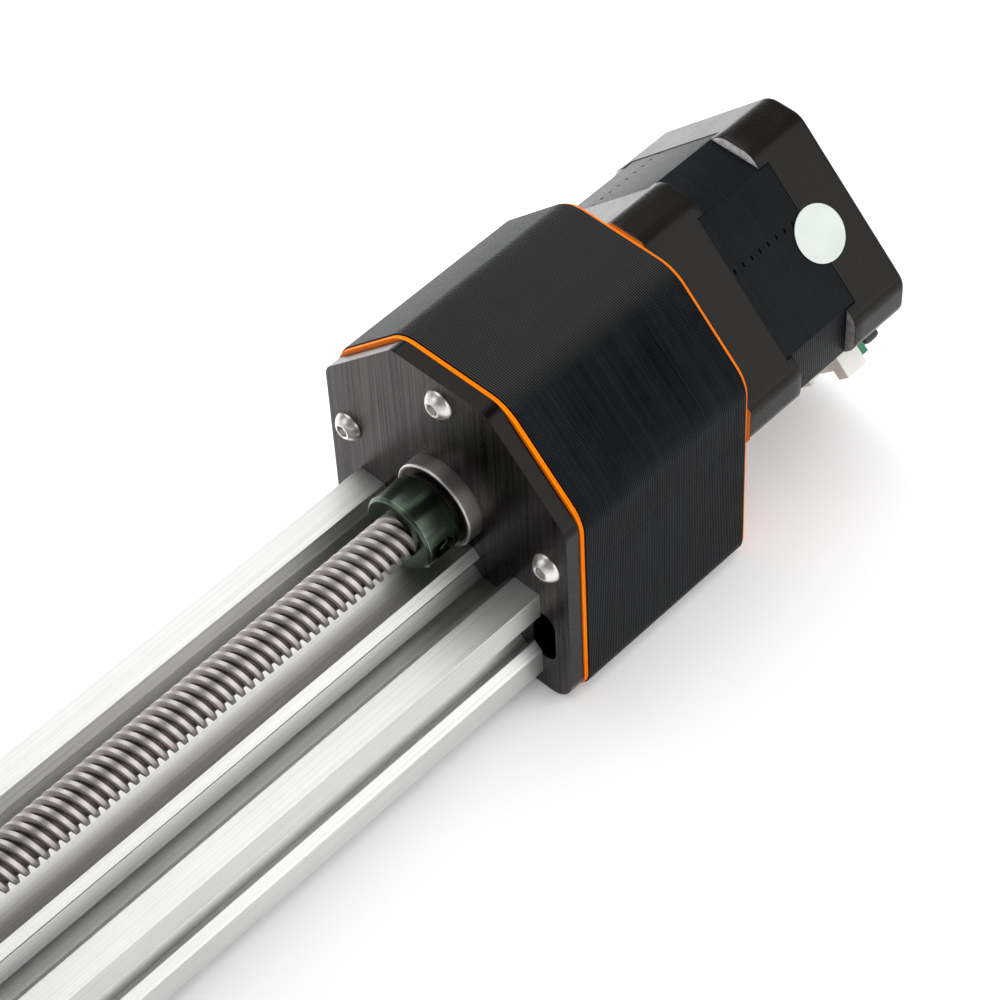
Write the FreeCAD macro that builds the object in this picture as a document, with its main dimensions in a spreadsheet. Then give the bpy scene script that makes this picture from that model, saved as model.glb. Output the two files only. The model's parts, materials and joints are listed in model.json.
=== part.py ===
import FreeCAD, Part
import os
import re

import Sketcher
from FreeCAD import Placement, Rotation, Vector

# Lead screw linear actuator: a 42 mm stepper motor turns a lead screw that drives a wheeled carriage along
# an aluminium rail. X is across the rail, +Y runs along it towards the motor, and Z is up from the floor.
# The origin is on the floor, in the middle of the width and of the overall length. Sizes are in millimetres.

DRIVING_SIZES = {
    # aluminium rail, lying flat, with vee-mouthed slots all round
    "rail_length": 250,
    "rail_width": 40,
    "rail_height": 20,
    "slot_pitch": 20,
    "slot_mouth": 9.16,
    "slot_throat": 6.2,
    "slot_lip": 1.8,
    "slot_cavity": 11,
    "slot_wall": 3.5,
    "slot_floor": 5.8,
    "slot_depth": 6.1,
    "rail_web": 1.2,
    # end plates, and the screw's axis above the rail
    "bearing_clearance": 0.65,
    "plate_drop": 3.55,
    "plate_thick": 3,
    "plate_margin": 6.3,
    "plate_top": 27,
    "plate_apothem": 26.3,
    "plate_round": 3.4,
    "foot_round": 5,
    "cable_gap_reach": 3.1,
    "cable_gap_height": 11,
    "cable_gap_round": 2.5,
    # fasteners
    "end_screw_dia": 5,
    "end_screw_length": 18,
    "end_head_dia": 9,
    "end_head_height": 2.5,
    "end_socket": 3,
    "motor_screw_dia": 3,
    "motor_screw_grip": 4.5,
    "motor_head_dia": 5.7,
    "motor_head_height": 1.75,
    "motor_head_dome": 1.4,
    "motor_socket": 2,
    "motor_socket_depth": 1.05,
    "bolt_gap": 0.1,
    "fit_gap": 0.02,
    # lead screw, its end bearings and lock collars
    "screw_dia": 8,
    "bearing_dia": 16,
    "bearing_width": 5,
    "bearing_seat": 2,
    "bearing_ball_dia": 2,
    "small_ball_dia": 2.2,
    "ball_gap": 0.2,
    "shield_thick": 0.3,
    "shield_inset": 0.4,
    "shim_dia": 12,
    "shim_thick": 1,
    "collar_dia": 14,
    "collar_length": 7,
    "collar_chamfer": 0.5,
    "grub_dia": 4,
    "grub_inset": 0.9,
    # shaft coupler and printed cover
    "coupler_dia": 19,
    "coupler_length": 25,
    "shaft_gap": 0.5,
    "gasket_thick": 0.8,
    "rear_gasket_thick": 0.55,
    "pad_thick": 0.95,
    "pad_inset": 0.05,
    "cover_length": 37.7,
    "cover_side_lip": 0.6,
    "cover_top_lip": 0.4,
    "cover_slope_lip": 1,
    "cover_wall": 1.6,
    "cover_back": 2,
    "cover_round": 8,
    "spacer_dia": 6,
    "spacer_gap": 0.3,
    # stepper motor, turned so that its corners point up, down and sideways
    "motor_width": 42.3,
    "motor_screw_pitch": 31,
    "front_cap_length": 11,
    "stack_length": 17.3,
    "rear_cap_length": 10.7,
    "cap_corner": 4.6,
    "cap_round": 4,
    "rear_rim_round": 1,
    "stack_corner": 7.5,
    "stack_recess": 0.1,
    "cap_cavity_dia": 36,
    "cap_wall": 6,
    "pilot_dia": 22,
    "pilot_height": 2,
    "motor_shaft_dia": 5,
    "shaft_reach": 22,
    "shaft_hole_gap": 1.5,
    "rotor_dia": 22,
    "rotor_inset": 0.6,
    "air_gap": 0.3,
    "coil_inner_dia": 25,
    "coil_outer_dia": 35,
    "coil_length": 3,
    "seat_shoulder": 1,
    "case_head_dia": 5.5,
    "case_head_height": 2.2,
    "case_screw_end": 6,
    # connector in the rear cap, and the round sticker
    "connector_length": 14,
    "connector_height": 4.9,
    "connector_reach": 5.85,
    "connector_root": 3.4,
    "connector_wall": 0.9,
    "connector_post": 2.9,
    "connector_sill": 1.2,
    "pin_pitch": 2,
    "pin_width": 0.5,
    "pin_length": 6.3,
    "board_thick": 1.4,
    "board_reach": 4.4,
    "backing_reach": 3.8,
    "backing_round": 0.9,
    "connector_gap": 0.2,
    "sticker_dia": 10,
    "sticker_thick": 0.12,
    "sticker_along": 29.45,
    "sticker_across": 1,
    # carriage, at rest far enough from the motor plate to be out of the picture
    "carriage_station": 160,
    "carriage_width": 87,
    "carriage_length": 80,
    "carriage_thick": 3,
    "carriage_lift": 9,
    "carriage_round": 6,
    "carriage_hole_pitch": 40,
    "axle_dia": 5,
    "axle_pitch": 54,
    "axle_tail": 0.8,
    "wheel_dia": 23.9,
    "wheel_width": 10.2,
    "wheel_flat": 5.9,
    "wheel_gap": 0.25,
    "wheel_shoulder": 1,
    "wheel_shoulder_height": 1,
    "wheel_spacer_dia": 9,
    "eccentric_length": 6,
    "eccentric_flats": 10,
    "axle_nut_flats": 8,
    "axle_nut_height": 5,
    "nut_block_width": 34,
    "nut_block_length": 20,
    "nut_block_clearance": 1.65,
    "nut_block_chamfer": 1,
    "nut_screw_pitch": 23,
    "nut_screw_grip": 11,
    "lead_nut_dia": 12,
    "lead_nut_flange_dia": 14.6,
    "lead_nut_flange": 3,
    "lead_nut_gap": 0.06,
}

DERIVED_SIZES = {
    "axis_lift": "bearing_dia / 2 + bearing_clearance",
    "axis_height": "plate_drop + rail_height + axis_lift",
    "rail_centre_height": "plate_drop + rail_height / 2",
    "plate_width": "rail_width + 2 * plate_margin",
    "cover_width": "plate_width + 2 * cover_side_lip",
    "cover_top": "plate_top + cover_top_lip",
    "cover_apothem": "plate_apothem + cover_slope_lip",
    "spacer_length": "gasket_thick + cover_length + rear_gasket_thick + pad_thick",
    "motor_station": "plate_thick + spacer_length",
    "stack_station": "motor_station + front_cap_length",
    "rear_cap_station": "stack_station + stack_length",
    "motor_end": "rear_cap_station + rear_cap_length",
    "far_end": "rail_length + plate_thick + end_head_height",
    "plate_face": "(far_end - motor_end) / 2",
    "far_face": "plate_face - rail_length",
    "motor_face": "plate_face + motor_station",
    "motor_screw_circle": "motor_screw_pitch * sqrt(2)",
    "screw_coupling_reach": "motor_station - shaft_reach - shaft_gap",
    "coupler_start": "screw_coupling_reach + (shaft_gap - coupler_length) / 2",
    "ball_circle": "(screw_dia + bearing_dia) / 2",
    "bearing_ring": "(bearing_dia - screw_dia - 2 * bearing_ball_dia) / 4 - ball_gap",
    "small_ball_circle": "(motor_shaft_dia + bearing_dia) / 2",
    "small_ring": "(bearing_dia - motor_shaft_dia - 2 * small_ball_dia) / 4 - ball_gap",
    "carriage_centre": "plate_face - carriage_station",
    "carriage_bottom": "axis_height + carriage_lift",
    "vee_height": "(wheel_dia + wheel_flat - slot_mouth) / 2",
    "wheel_side": "rail_width / 2 + vee_height + wheel_gap * sqrt(2)",
    "wheel_stack": "2 * bearing_width + wheel_shoulder",
    "wheel_top": "rail_centre_height + wheel_stack / 2",
    "wheel_foot": "rail_centre_height - wheel_stack / 2",
    "spacer_drop": "carriage_bottom - wheel_top",
    "nut_block_height": "carriage_lift + axis_lift - nut_block_clearance",
}

FUNCTION_NAMES = ("sqrt", "cos", "sin")
START_POINT = 1
END_POINT = 2
CENTRE_POINT = 3
ORIGIN = (-1, 1)
HORIZONTAL_AXIS = -1
VERTICAL_AXIS = -2
TINY_VOLUME = 1e-6
NEAR = 0.01

UNTURNED = Rotation()
HALF_TURN = Rotation(Vector(0, 0, 1), 180)
EIGHTH_TURN = Rotation(Vector(0, 1, 0), 45)
GRUB_TURN = Rotation(Vector(0, 1, 0), 5)
SIDES = {"left": "-1", "right": "1"}
ENDS = {"front": "1", "back": "-1"}

doc = FreeCAD.newDocument("LeadScrewActuator")
sizes = doc.addObject("Spreadsheet::Sheet", "Sizes")
nodes = []


# The sheet of sizes
def fill_sheet():
    """One row for each size: its name, then its number or its formula."""
    formulas = {name: "=" + formula for name, formula in DERIVED_SIZES.items()}
    rows = {**DRIVING_SIZES, **formulas}
    for row, (name, content) in enumerate(rows.items(), start=1):
        sizes.set(f"A{row}", name)
        sizes.set(f"B{row}", str(content))
        sizes.setAlias(f"B{row}", name)
    doc.recompute()


def bound(expression):
    """The expression with each size's name turned into a reference to the sheet."""
    return re.sub(
        r"[a-z]\w+", lambda match: match[0] if match[0] in FUNCTION_NAMES else f"Sizes.{match[0]}", expression
    )


def value(expression):
    """The number that an expression of sizes comes to now."""
    return float(sizes.evalExpression(bound(expression)))


# Bodies, sketches and features
def place(item, x, y, z, rotation=UNTURNED):
    """Turn an object, and bind the place of its own origin."""
    item.Placement = Placement(Vector(), rotation)
    for coordinate, expression in zip("xyz", (x, y, z)):
        item.setExpression(f"Placement.Base.{coordinate}", bound(expression))


def new_body(label, x="0", y="plate_face", z="axis_height", rotation=UNTURNED):
    """An empty body, by default with its origin on the screw's axis at the motor plate's rail side."""
    body = doc.addObject("PartDesign::Body", label)
    body.Label = label
    place(body, x, y, z, rotation)
    return body


def new_sketch(body, role, raised="0"):
    """A sketch on one of the body's own planes, or raised from it along the plane's normal."""
    sketch = body.newObject("Sketcher::SketchObject", body.Label + "_sketch")
    plane = next(feature for feature in body.Origin.OriginFeatures if feature.Role == role)
    sketch.AttachmentSupport = (plane, [""])
    sketch.MapMode = "FlatFace"
    sketch.setExpression("AttachmentOffset.Base.z", bound(raised))
    return sketch


def hold(sketch, element, point, u, v):
    """Keep a point of a sketch at two bound distances from the sketch's origin."""
    for kind, expression, axis in (("DistanceX", u, VERTICAL_AXIS), ("DistanceY", v, HORIZONTAL_AXIS)):
        if expression == "0":
            sketch.addConstraint(Sketcher.Constraint("PointOnObject", element, point, axis))
            continue
        distance = Sketcher.Constraint(kind, *ORIGIN, element, point, value(expression))
        index = sketch.addConstraint(distance)
        sketch.setExpression(f"Constraints[{index}]", bound(expression))


def draw_outline(sketch, corners):
    """A closed chain of straight edges through bound corners."""
    first = sketch.GeometryCount
    count = len(corners)
    places = [Vector(value(u), value(v), 0) for u, v in corners]
    following = places[1:] + places[:1]
    sketch.addGeometry([Part.LineSegment(*pair) for pair in zip(places, following)], False)
    for step in range(count):
        after = first + (step + 1) % count
        sketch.addConstraint(Sketcher.Constraint("Coincident", first + step, END_POINT, after, START_POINT))
    for step, (u, v) in enumerate(corners):
        hold(sketch, first + step, START_POINT, u, v)


def draw_circle(sketch, u, v, diameter):
    """A circle of a bound diameter at a bound place."""
    centre = Vector(value(u), value(v), 0)
    element = sketch.addGeometry(Part.Circle(centre, Vector(0, 0, 1), value(diameter) / 2), False)
    hold(sketch, element, CENTRE_POINT, u, v)
    index = sketch.addConstraint(Sketcher.Constraint("Diameter", element, value(diameter)))
    sketch.setExpression(f"Constraints[{index}]", bound(diameter))


def rectangle(left, right, bottom, top):
    """The four corners of an upright rectangle."""
    return [(left, bottom), (right, bottom), (right, top), (left, top)]


def hexagon(flats):
    """The six corners of a hexagon, from its width across flats."""
    radius = f"{flats} / sqrt(3)"
    return [(f"{radius} * cos({degrees})", f"{radius} * sin({degrees})") for degrees in range(0, 360, 60)]


def pad(body, sketch, length, towards_normal=False):
    """Material raised from a sketch, by default against the plane's normal, which is along +Y for XZ."""
    feature = body.newObject("PartDesign::Pad", body.Label + "_pad")
    feature.Profile = sketch
    feature.Reversed = not towards_normal
    feature.setExpression("Length", bound(length))
    doc.recompute()
    return feature


def pocket(body, sketch, depth, towards_normal=False):
    """A cut of a bound depth from a sketch, by default against the plane's normal, as pad goes."""
    before = body.Tip.Shape.Volume
    feature = body.newObject("PartDesign::Pocket", body.Label + "_pocket")
    feature.Profile = sketch
    feature.Reversed = towards_normal
    feature.setExpression("Length", bound(depth))
    return checked_cut(feature, before)


def checked_cut(feature, before):
    """The cut itself, once it is known to have taken material away."""
    doc.recompute()
    if feature.Shape.Volume > before - TINY_VOLUME:
        raise RuntimeError(f"{feature.Label} cuts nothing")
    return feature


def turn(body, role, profile):
    """Material turned about the sketch's upright axis: Y for the XY plane, Z for the XZ plane."""
    sketch = new_sketch(body, role)
    draw_outline(sketch, profile)
    feature = body.newObject("PartDesign::Revolution", body.Label + "_turning")
    feature.Profile = sketch
    feature.ReferenceAxis = (sketch, ["V_Axis"])
    doc.recompute()
    return feature


def bore(body, profile):
    """A stepped hole turned about the body's Y axis."""
    before = body.Tip.Shape.Volume
    sketch = new_sketch(body, "XY_Plane")
    draw_outline(sketch, profile)
    feature = body.newObject("PartDesign::Groove", body.Label + "_bore")
    feature.Profile = sketch
    feature.ReferenceAxis = (sketch, ["V_Axis"])
    return checked_cut(feature, before)


def round_edges(body, radius, wanted):
    """Fillets on the edges of the body so far that answer the test."""
    base = body.Tip
    names = [f"Edge{index}" for index, edge in enumerate(base.Shape.Edges, start=1) if wanted(edge)]
    feature = body.newObject("PartDesign::Fillet", body.Label + "_fillet")
    feature.Base = (base, names)
    feature.setExpression("Radius", bound(radius))
    doc.recompute()


def lengthwise(edge):
    """Whether an edge is straight and runs along Y."""
    return isinstance(edge.Curve, Part.Line) and abs(edge.Curve.Direction.y) > 1 - NEAR


def upright(edge):
    """Whether an edge is straight and runs along Z."""
    return isinstance(edge.Curve, Part.Line) and abs(edge.Curve.Direction.z) > 1 - NEAR


def keep(item):
    """Count an object as one node of the part."""
    nodes.append(item)
    return item


def group(label, members):
    """Several separate solids as one node."""
    gathered = doc.addObject("Part::Compound", label)
    gathered.Label = label
    gathered.Links = members
    return keep(gathered)


def tube(body, role, inner_dia, outer_dia, low, high):
    """A plain ring or sleeve about the body's turning axis, between two heights."""
    profile = rectangle(f"({inner_dia}) / 2", f"({outer_dia}) / 2", low, high)
    return turn(body, role, profile)


def screw_profile(head_dia, head_height, shank_dia, shank_length, outwards):
    """Half the lengthwise section of a headed screw: the head ends at 0 and stands outwards, +1 or -1."""
    return [
        ("0", f"{outwards} * ({head_height})"),
        (f"{head_dia} / 2", f"{outwards} * ({head_height})"),
        (f"{head_dia} / 2", "0"),
        (f"{shank_dia} / 2", "0"),
        (f"{shank_dia} / 2", f"-{outwards} * ({shank_length})"),
        ("0", f"-{outwards} * ({shank_length})"),
    ]


def balls(label, spots, circle, diameter, count, flat=False):
    """Rings of balls, one round each spot, about Y, or about the vertical where they lie flat."""
    members = []
    for x, y, z in spots:
        for step in range(count):
            across = f"({circle}) / 2 * cos({360 * step / count})"
            along = f"({circle}) / 2 * sin({360 * step / count})"
            ball = doc.addObject("Part::Sphere", label + "_ball")
            ball.setExpression("Radius", bound(f"({diameter}) / 2"))
            if flat:
                place(ball, f"{x} + {across}", f"{y} + {along}", z)
            else:
                place(ball, f"{x} + {across}", y, f"{z} + {along}")
            members.append(ball)
    return group(label, members)


# The rail
def slot_points():
    """One slot's section as (distance along the face, depth), from one lip to the other."""
    half = [
        ("slot_mouth / 2", "0"),
        ("slot_throat / 2", "(slot_mouth - slot_throat) / 2"),
        ("slot_throat / 2", "slot_lip"),
        ("slot_cavity / 2", "slot_lip"),
        ("slot_cavity / 2", "slot_wall"),
        ("slot_floor / 2", "slot_depth"),
    ]
    return [(f"-{along}", depth) for along, depth in half] + half[::-1]


def rail_outline():
    """The rail's outer section, clockwise from the upper left corner."""
    slot = slot_points()
    centres = ("-slot_pitch / 2", "slot_pitch / 2")
    corners = [("-rail_width / 2", "rail_height / 2")]
    for centre in centres:
        corners += [(f"{centre} + ({along})", f"rail_height / 2 - {depth}") for along, depth in slot]
    corners += [("rail_width / 2", "rail_height / 2")]
    corners += [(f"rail_width / 2 - {depth}", f"-({along})") for along, depth in slot]
    corners += [("rail_width / 2", "-rail_height / 2")]
    for centre in centres:
        corners += [(f"-({centre}) - ({along})", f"{depth} - rail_height / 2") for along, depth in slot]
    corners += [("-rail_width / 2", "-rail_height / 2")]
    corners += [(f"{depth} - rail_width / 2", along) for along, depth in slot]
    return corners


def rail_hollow():
    """The hollow between the two cores: a cross-like section that leaves even webs to the slots."""
    core_side = "slot_pitch / 2 - rail_height / 2 + slot_depth"
    neck_side = "slot_pitch / 2 - slot_cavity / 2 - rail_web"
    quarter = [
        (core_side, "slot_floor / 2"),
        (neck_side, f"slot_floor / 2 + ({core_side}) - ({neck_side})"),
        (neck_side, "rail_height / 2 - slot_lip"),
    ]
    upper = quarter + [(f"-({u})", v) for u, v in quarter[::-1]]
    return upper + [(u, f"-({v})") for u, v in upper[::-1]]


def make_rail():
    """The extrusion, pressed between the two end plates."""
    body = new_body("rail", y="far_face", z="rail_centre_height")
    sketch = new_sketch(body, "XZ_Plane")
    draw_outline(sketch, rail_outline())
    draw_outline(sketch, rail_hollow())
    for side in SIDES.values():
        draw_circle(sketch, f"{side} * slot_pitch / 2", "0", "end_screw_dia + 2 * fit_gap")
    pad(body, sketch, "rail_length")
    keep(body)


# Plates, gaskets and cover share one outline: flat foot, upright sides and sloping shoulders
def shield_outline(half_width, top, apothem, foot):
    """Corners about the screw's axis. The shoulders lie at 45 degrees, at the apothem from the axis."""
    reach = f"({apothem}) * sqrt(2)"
    right = [
        (f"{half_width}", f"-({foot})"),
        (f"{half_width}", f"{reach} - ({half_width})"),
        (f"{reach} - ({top})", f"{top}"),
    ]
    return right + [(f"-({u})", v) for u, v in right[::-1]]


def cover_outline(inset="0"):
    """The cover's outline, or one that lies inside it by an even wall."""
    sides = ("cover_width / 2", "cover_top", "cover_apothem", "axis_height")
    return shield_outline(*[f"{side} - {inset}" for side in sides])


def round_shield(body, shoulder_radius):
    """Round the four shoulder corners and the two foot corners of a plate-like body."""
    foot = -value("axis_height")
    round_edges(body, shoulder_radius, lambda edge: lengthwise(edge) and edge.CenterOfMass.z > 0)
    round_edges(body, "foot_round", lambda edge: lengthwise(edge) and abs(edge.CenterOfMass.z - foot) < NEAR)


def motor_screw_spots():
    """The four motor screws, right, top, left and bottom of the screw's axis."""
    circle = "motor_screw_circle / 2"
    return [(circle, "0"), ("0", circle), (f"-{circle}", "0"), ("0", f"-{circle}")]


def make_end_plate(label, y, rotation, holds_motor):
    """A plate across the rail's end: bearing seat on its rail side, and a gap for cables at each side."""
    body = new_body(label, y=y, rotation=rotation)
    sketch = new_sketch(body, "XZ_Plane")
    draw_outline(sketch, shield_outline("plate_width / 2", "plate_top", "plate_apothem", "axis_height"))
    pad(body, sketch, "plate_thick")
    round_shield(body, "plate_round")
    rail_middle = "rail_centre_height - axis_height"
    holes = new_sketch(body, "XZ_Plane")
    draw_circle(holes, "0", "0", "bearing_dia - 2 * bearing_ring")
    for side in SIDES.values():
        draw_circle(holes, f"{side} * slot_pitch / 2", rail_middle, "end_screw_dia + 2 * bolt_gap")
    if holds_motor:
        for u, v in motor_screw_spots():
            draw_circle(holes, u, v, "motor_screw_dia + 2 * bolt_gap")
    pocket(body, holes, "plate_thick")
    seat = new_sketch(body, "XZ_Plane")
    draw_circle(seat, "0", "0", "bearing_dia + 2 * fit_gap")
    pocket(body, seat, "bearing_seat")
    for side in SIDES.values():
        gap = new_sketch(body, "XZ_Plane")
        draw_outline(gap, rectangle(
            f"{side} * (rail_width / 2 - slot_lip)", f"{side} * (rail_width / 2 + cable_gap_reach)",
            f"{rail_middle} - cable_gap_height / 2", f"{rail_middle} + cable_gap_height / 2",
        ))
        pocket(body, gap, "plate_thick")
    outer = value("rail_width / 2 + cable_gap_reach")

    def at_gap_end(edge):
        return lengthwise(edge) and abs(abs(edge.CenterOfMass.x) - outer) < NEAR

    round_edges(body, "cable_gap_round", at_gap_end)
    keep(body)


def make_end_bearing(end, y, rotation):
    """The 8 x 16 x 5 bearing in an end plate: it stands proud of the plate on the rail side."""
    front = "bearing_seat - bearing_width"
    outer = keep(new_body(f"{end}_bearing_outer", y=y, rotation=rotation))
    tube(outer, "XY_Plane", "bearing_dia - 2 * bearing_ring", "bearing_dia", front, "bearing_seat")
    inner = keep(new_body(f"{end}_bearing_inner", y=y, rotation=rotation))
    tube(inner, "XY_Plane", "screw_dia + 2 * fit_gap", "screw_dia + 2 * bearing_ring", front, "bearing_seat")
    lows = (f"{front} + shield_inset", "bearing_seat - shield_inset - shield_thick")
    shields = []
    for low in lows:
        shield = new_body(f"{end}_bearing_shield", y=y, rotation=rotation)
        inside = "screw_dia + 2 * bearing_ring + 2 * air_gap"
        outside = "bearing_dia - 2 * bearing_ring - 2 * fit_gap"
        tube(shield, "XY_Plane", inside, outside, low, f"{low} + shield_thick")
        shields.append(shield)
    group(f"{end}_bearing_shields", shields)
    facing = "1" if rotation is UNTURNED else "-1"
    middle = f"{y} + {facing} * (bearing_seat - bearing_width / 2)"
    balls(f"{end}_bearing_balls", [("0", middle, "axis_height")], "ball_circle", "bearing_ball_dia", 8)


def make_collar(end, y, rotation):
    """A lock collar with its grub screw at one side, and the shim that it presses against the bearing."""
    front = "bearing_seat - bearing_width - shim_thick - collar_length"
    back = "bearing_seat - bearing_width - shim_thick"
    shim = new_body(f"{end}_shim", y=y, rotation=rotation)
    tube(shim, "XY_Plane", "screw_dia + 2 * fit_gap", "shim_dia", back, f"{back} + shim_thick")
    collar = keep(new_body(f"{end}_lock_collar", y=y, rotation=rotation * GRUB_TURN))
    turn(collar, "XY_Plane", [
        ("screw_dia / 2 + fit_gap", front),
        ("collar_dia / 2 - collar_chamfer", front),
        ("collar_dia / 2", f"{front} + collar_chamfer"),
        ("collar_dia / 2", f"{back} - collar_chamfer"),
        ("collar_dia / 2 - collar_chamfer", back),
        ("screw_dia / 2 + fit_gap", back),
    ])
    hole = new_sketch(collar, "YZ_Plane")
    draw_circle(hole, f"({front} + {back}) / 2", "0", "grub_dia")
    pocket(collar, hole, "collar_dia", towards_normal=True)
    grub = new_body(f"{end}_grub_screw", y=y, rotation=rotation * GRUB_TURN)
    rod = new_sketch(grub, "YZ_Plane", raised="screw_dia / 2 + fit_gap")
    draw_circle(rod, f"({front} + {back}) / 2", "0", "grub_dia - 2 * fit_gap")
    pad(grub, rod, "(collar_dia - screw_dia) / 2 - grub_inset", towards_normal=True)
    return shim, grub


def make_end_screws(y, rotation):
    """The two screws that pull an end plate against the rail's tapped cores."""
    screws = []
    facing = "1" if rotation is UNTURNED else "-1"
    for side in SIDES.values():
        across = f"{side} * slot_pitch / 2"
        along = f"{y} + {facing} * plate_thick"
        screw = new_body("rail_end_screw", across, along, "rail_centre_height", rotation)
        profile = screw_profile("end_head_dia", "end_head_height", "end_screw_dia", "end_screw_length", "1")
        turn(screw, "XY_Plane", profile)
        socket = new_sketch(screw, "XZ_Plane", raised="-end_head_height")
        draw_outline(socket, hexagon("end_socket"))
        pocket(screw, socket, "end_head_height / 2", towards_normal=True)
        screws.append(screw)
    return screws


def make_ends():
    """Both ends of the rail. The far end is the motor end turned about, without the motor's holes."""
    shims = []
    grubs = []
    screws = []
    for end, y, rotation in (("motor_end", "plate_face", UNTURNED), ("far_end", "far_face", HALF_TURN)):
        make_end_plate(f"{end}_plate", y, rotation, holds_motor=rotation is UNTURNED)
        make_end_bearing(end, y, rotation)
        shim, grub = make_collar(end, y, rotation)
        shims.append(shim)
        grubs.append(grub)
        screws += make_end_screws(y, rotation)
    group("bearing_shims", shims)
    group("collar_grub_screws", grubs)
    group("rail_end_screws", screws)


# Lead screw and coupler
def make_lead_screw():
    """The screw's plain envelope, from the far bearing into the coupler."""
    screw = keep(new_body("lead_screw"))
    circle = new_sketch(screw, "XZ_Plane", raised="rail_length + bearing_seat")
    draw_circle(circle, "0", "0", "screw_dia")
    pad(screw, circle, "rail_length + bearing_seat + screw_coupling_reach")


def make_coupler():
    """The coupler, bored for the lead screw and for the motor's shaft, and its two set screws."""
    finish = "coupler_start + coupler_length"
    coupler = keep(new_body("shaft_coupler", rotation=GRUB_TURN))
    step = "screw_coupling_reach + shaft_gap / 2"
    turn(coupler, "XY_Plane", [
        ("screw_dia / 2 + fit_gap", "coupler_start"),
        ("coupler_dia / 2", "coupler_start"),
        ("coupler_dia / 2", finish),
        ("motor_shaft_dia / 2 + fit_gap", finish),
        ("motor_shaft_dia / 2 + fit_gap", step),
        ("screw_dia / 2 + fit_gap", step),
    ])
    screws = []
    spots = {"screw_dia": "coupler_start + grub_dia", "motor_shaft_dia": f"{finish} - grub_dia"}
    for held_dia, along in spots.items():
        hole = new_sketch(coupler, "YZ_Plane")
        draw_circle(hole, along, "0", "grub_dia")
        pocket(coupler, hole, "coupler_dia", towards_normal=True)
        screw = new_body("coupler_set_screw", rotation=GRUB_TURN)
        rod = new_sketch(screw, "YZ_Plane", raised=f"{held_dia} / 2 + fit_gap")
        draw_circle(rod, along, "0", "grub_dia - 2 * fit_gap")
        pad(screw, rod, f"(coupler_dia - {held_dia}) / 2 - grub_inset", towards_normal=True)
        screws.append(screw)
    group("coupler_set_screws", screws)


# Printed cover, gaskets, and what ties the motor to its plate
def make_cover():
    """The printed cover: a tube round the coupler, with a back wall towards the motor."""
    cover = keep(new_body("coupler_cover", y="plate_face + plate_thick + gasket_thick"))
    sketch = new_sketch(cover, "XZ_Plane")
    draw_outline(sketch, cover_outline())
    pad(cover, sketch, "cover_length")
    round_shield(cover, "cover_round")
    inside = new_sketch(cover, "XZ_Plane")
    draw_outline(inside, cover_outline("cover_wall"))
    pocket(cover, inside, "cover_length - cover_back")
    back = new_sketch(cover, "XZ_Plane")
    draw_back_openings(back)
    pocket(cover, back, "cover_length")


def draw_back_openings(sketch):
    """The motor's pilot hole and the four spacers' holes."""
    draw_circle(sketch, "0", "0", "pilot_dia + 2 * spacer_gap")
    for u, v in motor_screw_spots():
        draw_circle(sketch, u, v, "spacer_dia + 2 * spacer_gap")


def make_gaskets():
    """The orange front and rear gaskets, and the raised pad that the motor's face sits on."""
    front = keep(new_body("front_gasket", y="plate_face + plate_thick"))
    sketch = new_sketch(front, "XZ_Plane")
    draw_outline(sketch, cover_outline())
    pad(front, sketch, "gasket_thick")
    round_shield(front, "cover_round")
    opening = new_sketch(front, "XZ_Plane")
    draw_outline(opening, cover_outline("cover_wall"))
    pocket(front, opening, "gasket_thick")

    rear = keep(new_body("rear_gasket", y="plate_face + plate_thick + gasket_thick + cover_length"))
    sheet = new_sketch(rear, "XZ_Plane")
    draw_outline(sheet, cover_outline())
    pad(rear, sheet, "rear_gasket_thick")
    round_shield(rear, "cover_round")
    openings = new_sketch(rear, "XZ_Plane")
    draw_back_openings(openings)
    pocket(rear, openings, "rear_gasket_thick")

    seat = keep(new_body("motor_pad", y="motor_face - pad_thick"))
    square = new_sketch(seat, "XZ_Plane")
    draw_outline(square, [diagonal(u, v) for u, v in cut_square("motor_width - 2 * pad_inset", "cap_corner")])
    draw_back_openings(square)
    pad(seat, square, "pad_thick")


def cut_square(width, corner):
    """The eight corners of a square whose own corners are cut off by a leg."""
    half = f"({width}) / 2"
    short = f"(({width}) / 2 - {corner})"
    right = [(half, f"-{short}"), (half, short), (short, half), (f"-{short}", half)]
    return right + [(f"-({u})", f"-({v})") for u, v in right]


def diagonal(u, v):
    """A place on the motor's turned face, in upright coordinates."""
    return f"(({u}) + ({v})) / sqrt(2)", f"(({v}) - ({u})) / sqrt(2)"


def make_motor_fixings():
    """Four spacers between the plate and the motor, and the long screws that pass through them."""
    spacers = []
    screws = []
    crown = -value("motor_head_height")

    def on_crown(edge):
        return edge.Closed and abs(edge.CenterOfMass.y - crown) < NEAR

    for u, v in motor_screw_spots():
        spacer = new_body("motor_spacer", u, "plate_face + plate_thick", f"axis_height + {v}")
        tube(spacer, "XY_Plane", "motor_screw_dia + 2 * bolt_gap", "spacer_dia", "0", "spacer_length")
        spacers.append(spacer)
        screw = new_body("motor_screw", u, "plate_face", f"axis_height + {v}")
        shank = "motor_station + motor_screw_grip"
        profile = screw_profile("motor_head_dia", "motor_head_height", "motor_screw_dia", shank, "-1")
        turn(screw, "XY_Plane", profile)
        round_edges(screw, "motor_head_dome", on_crown)
        socket = new_sketch(screw, "XZ_Plane", raised="motor_head_height")
        draw_outline(socket, hexagon("motor_socket"))
        pocket(screw, socket, "motor_socket_depth")
        screws.append(screw)
    group("motor_spacers", spacers)
    group("motor_screws", screws)


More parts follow.
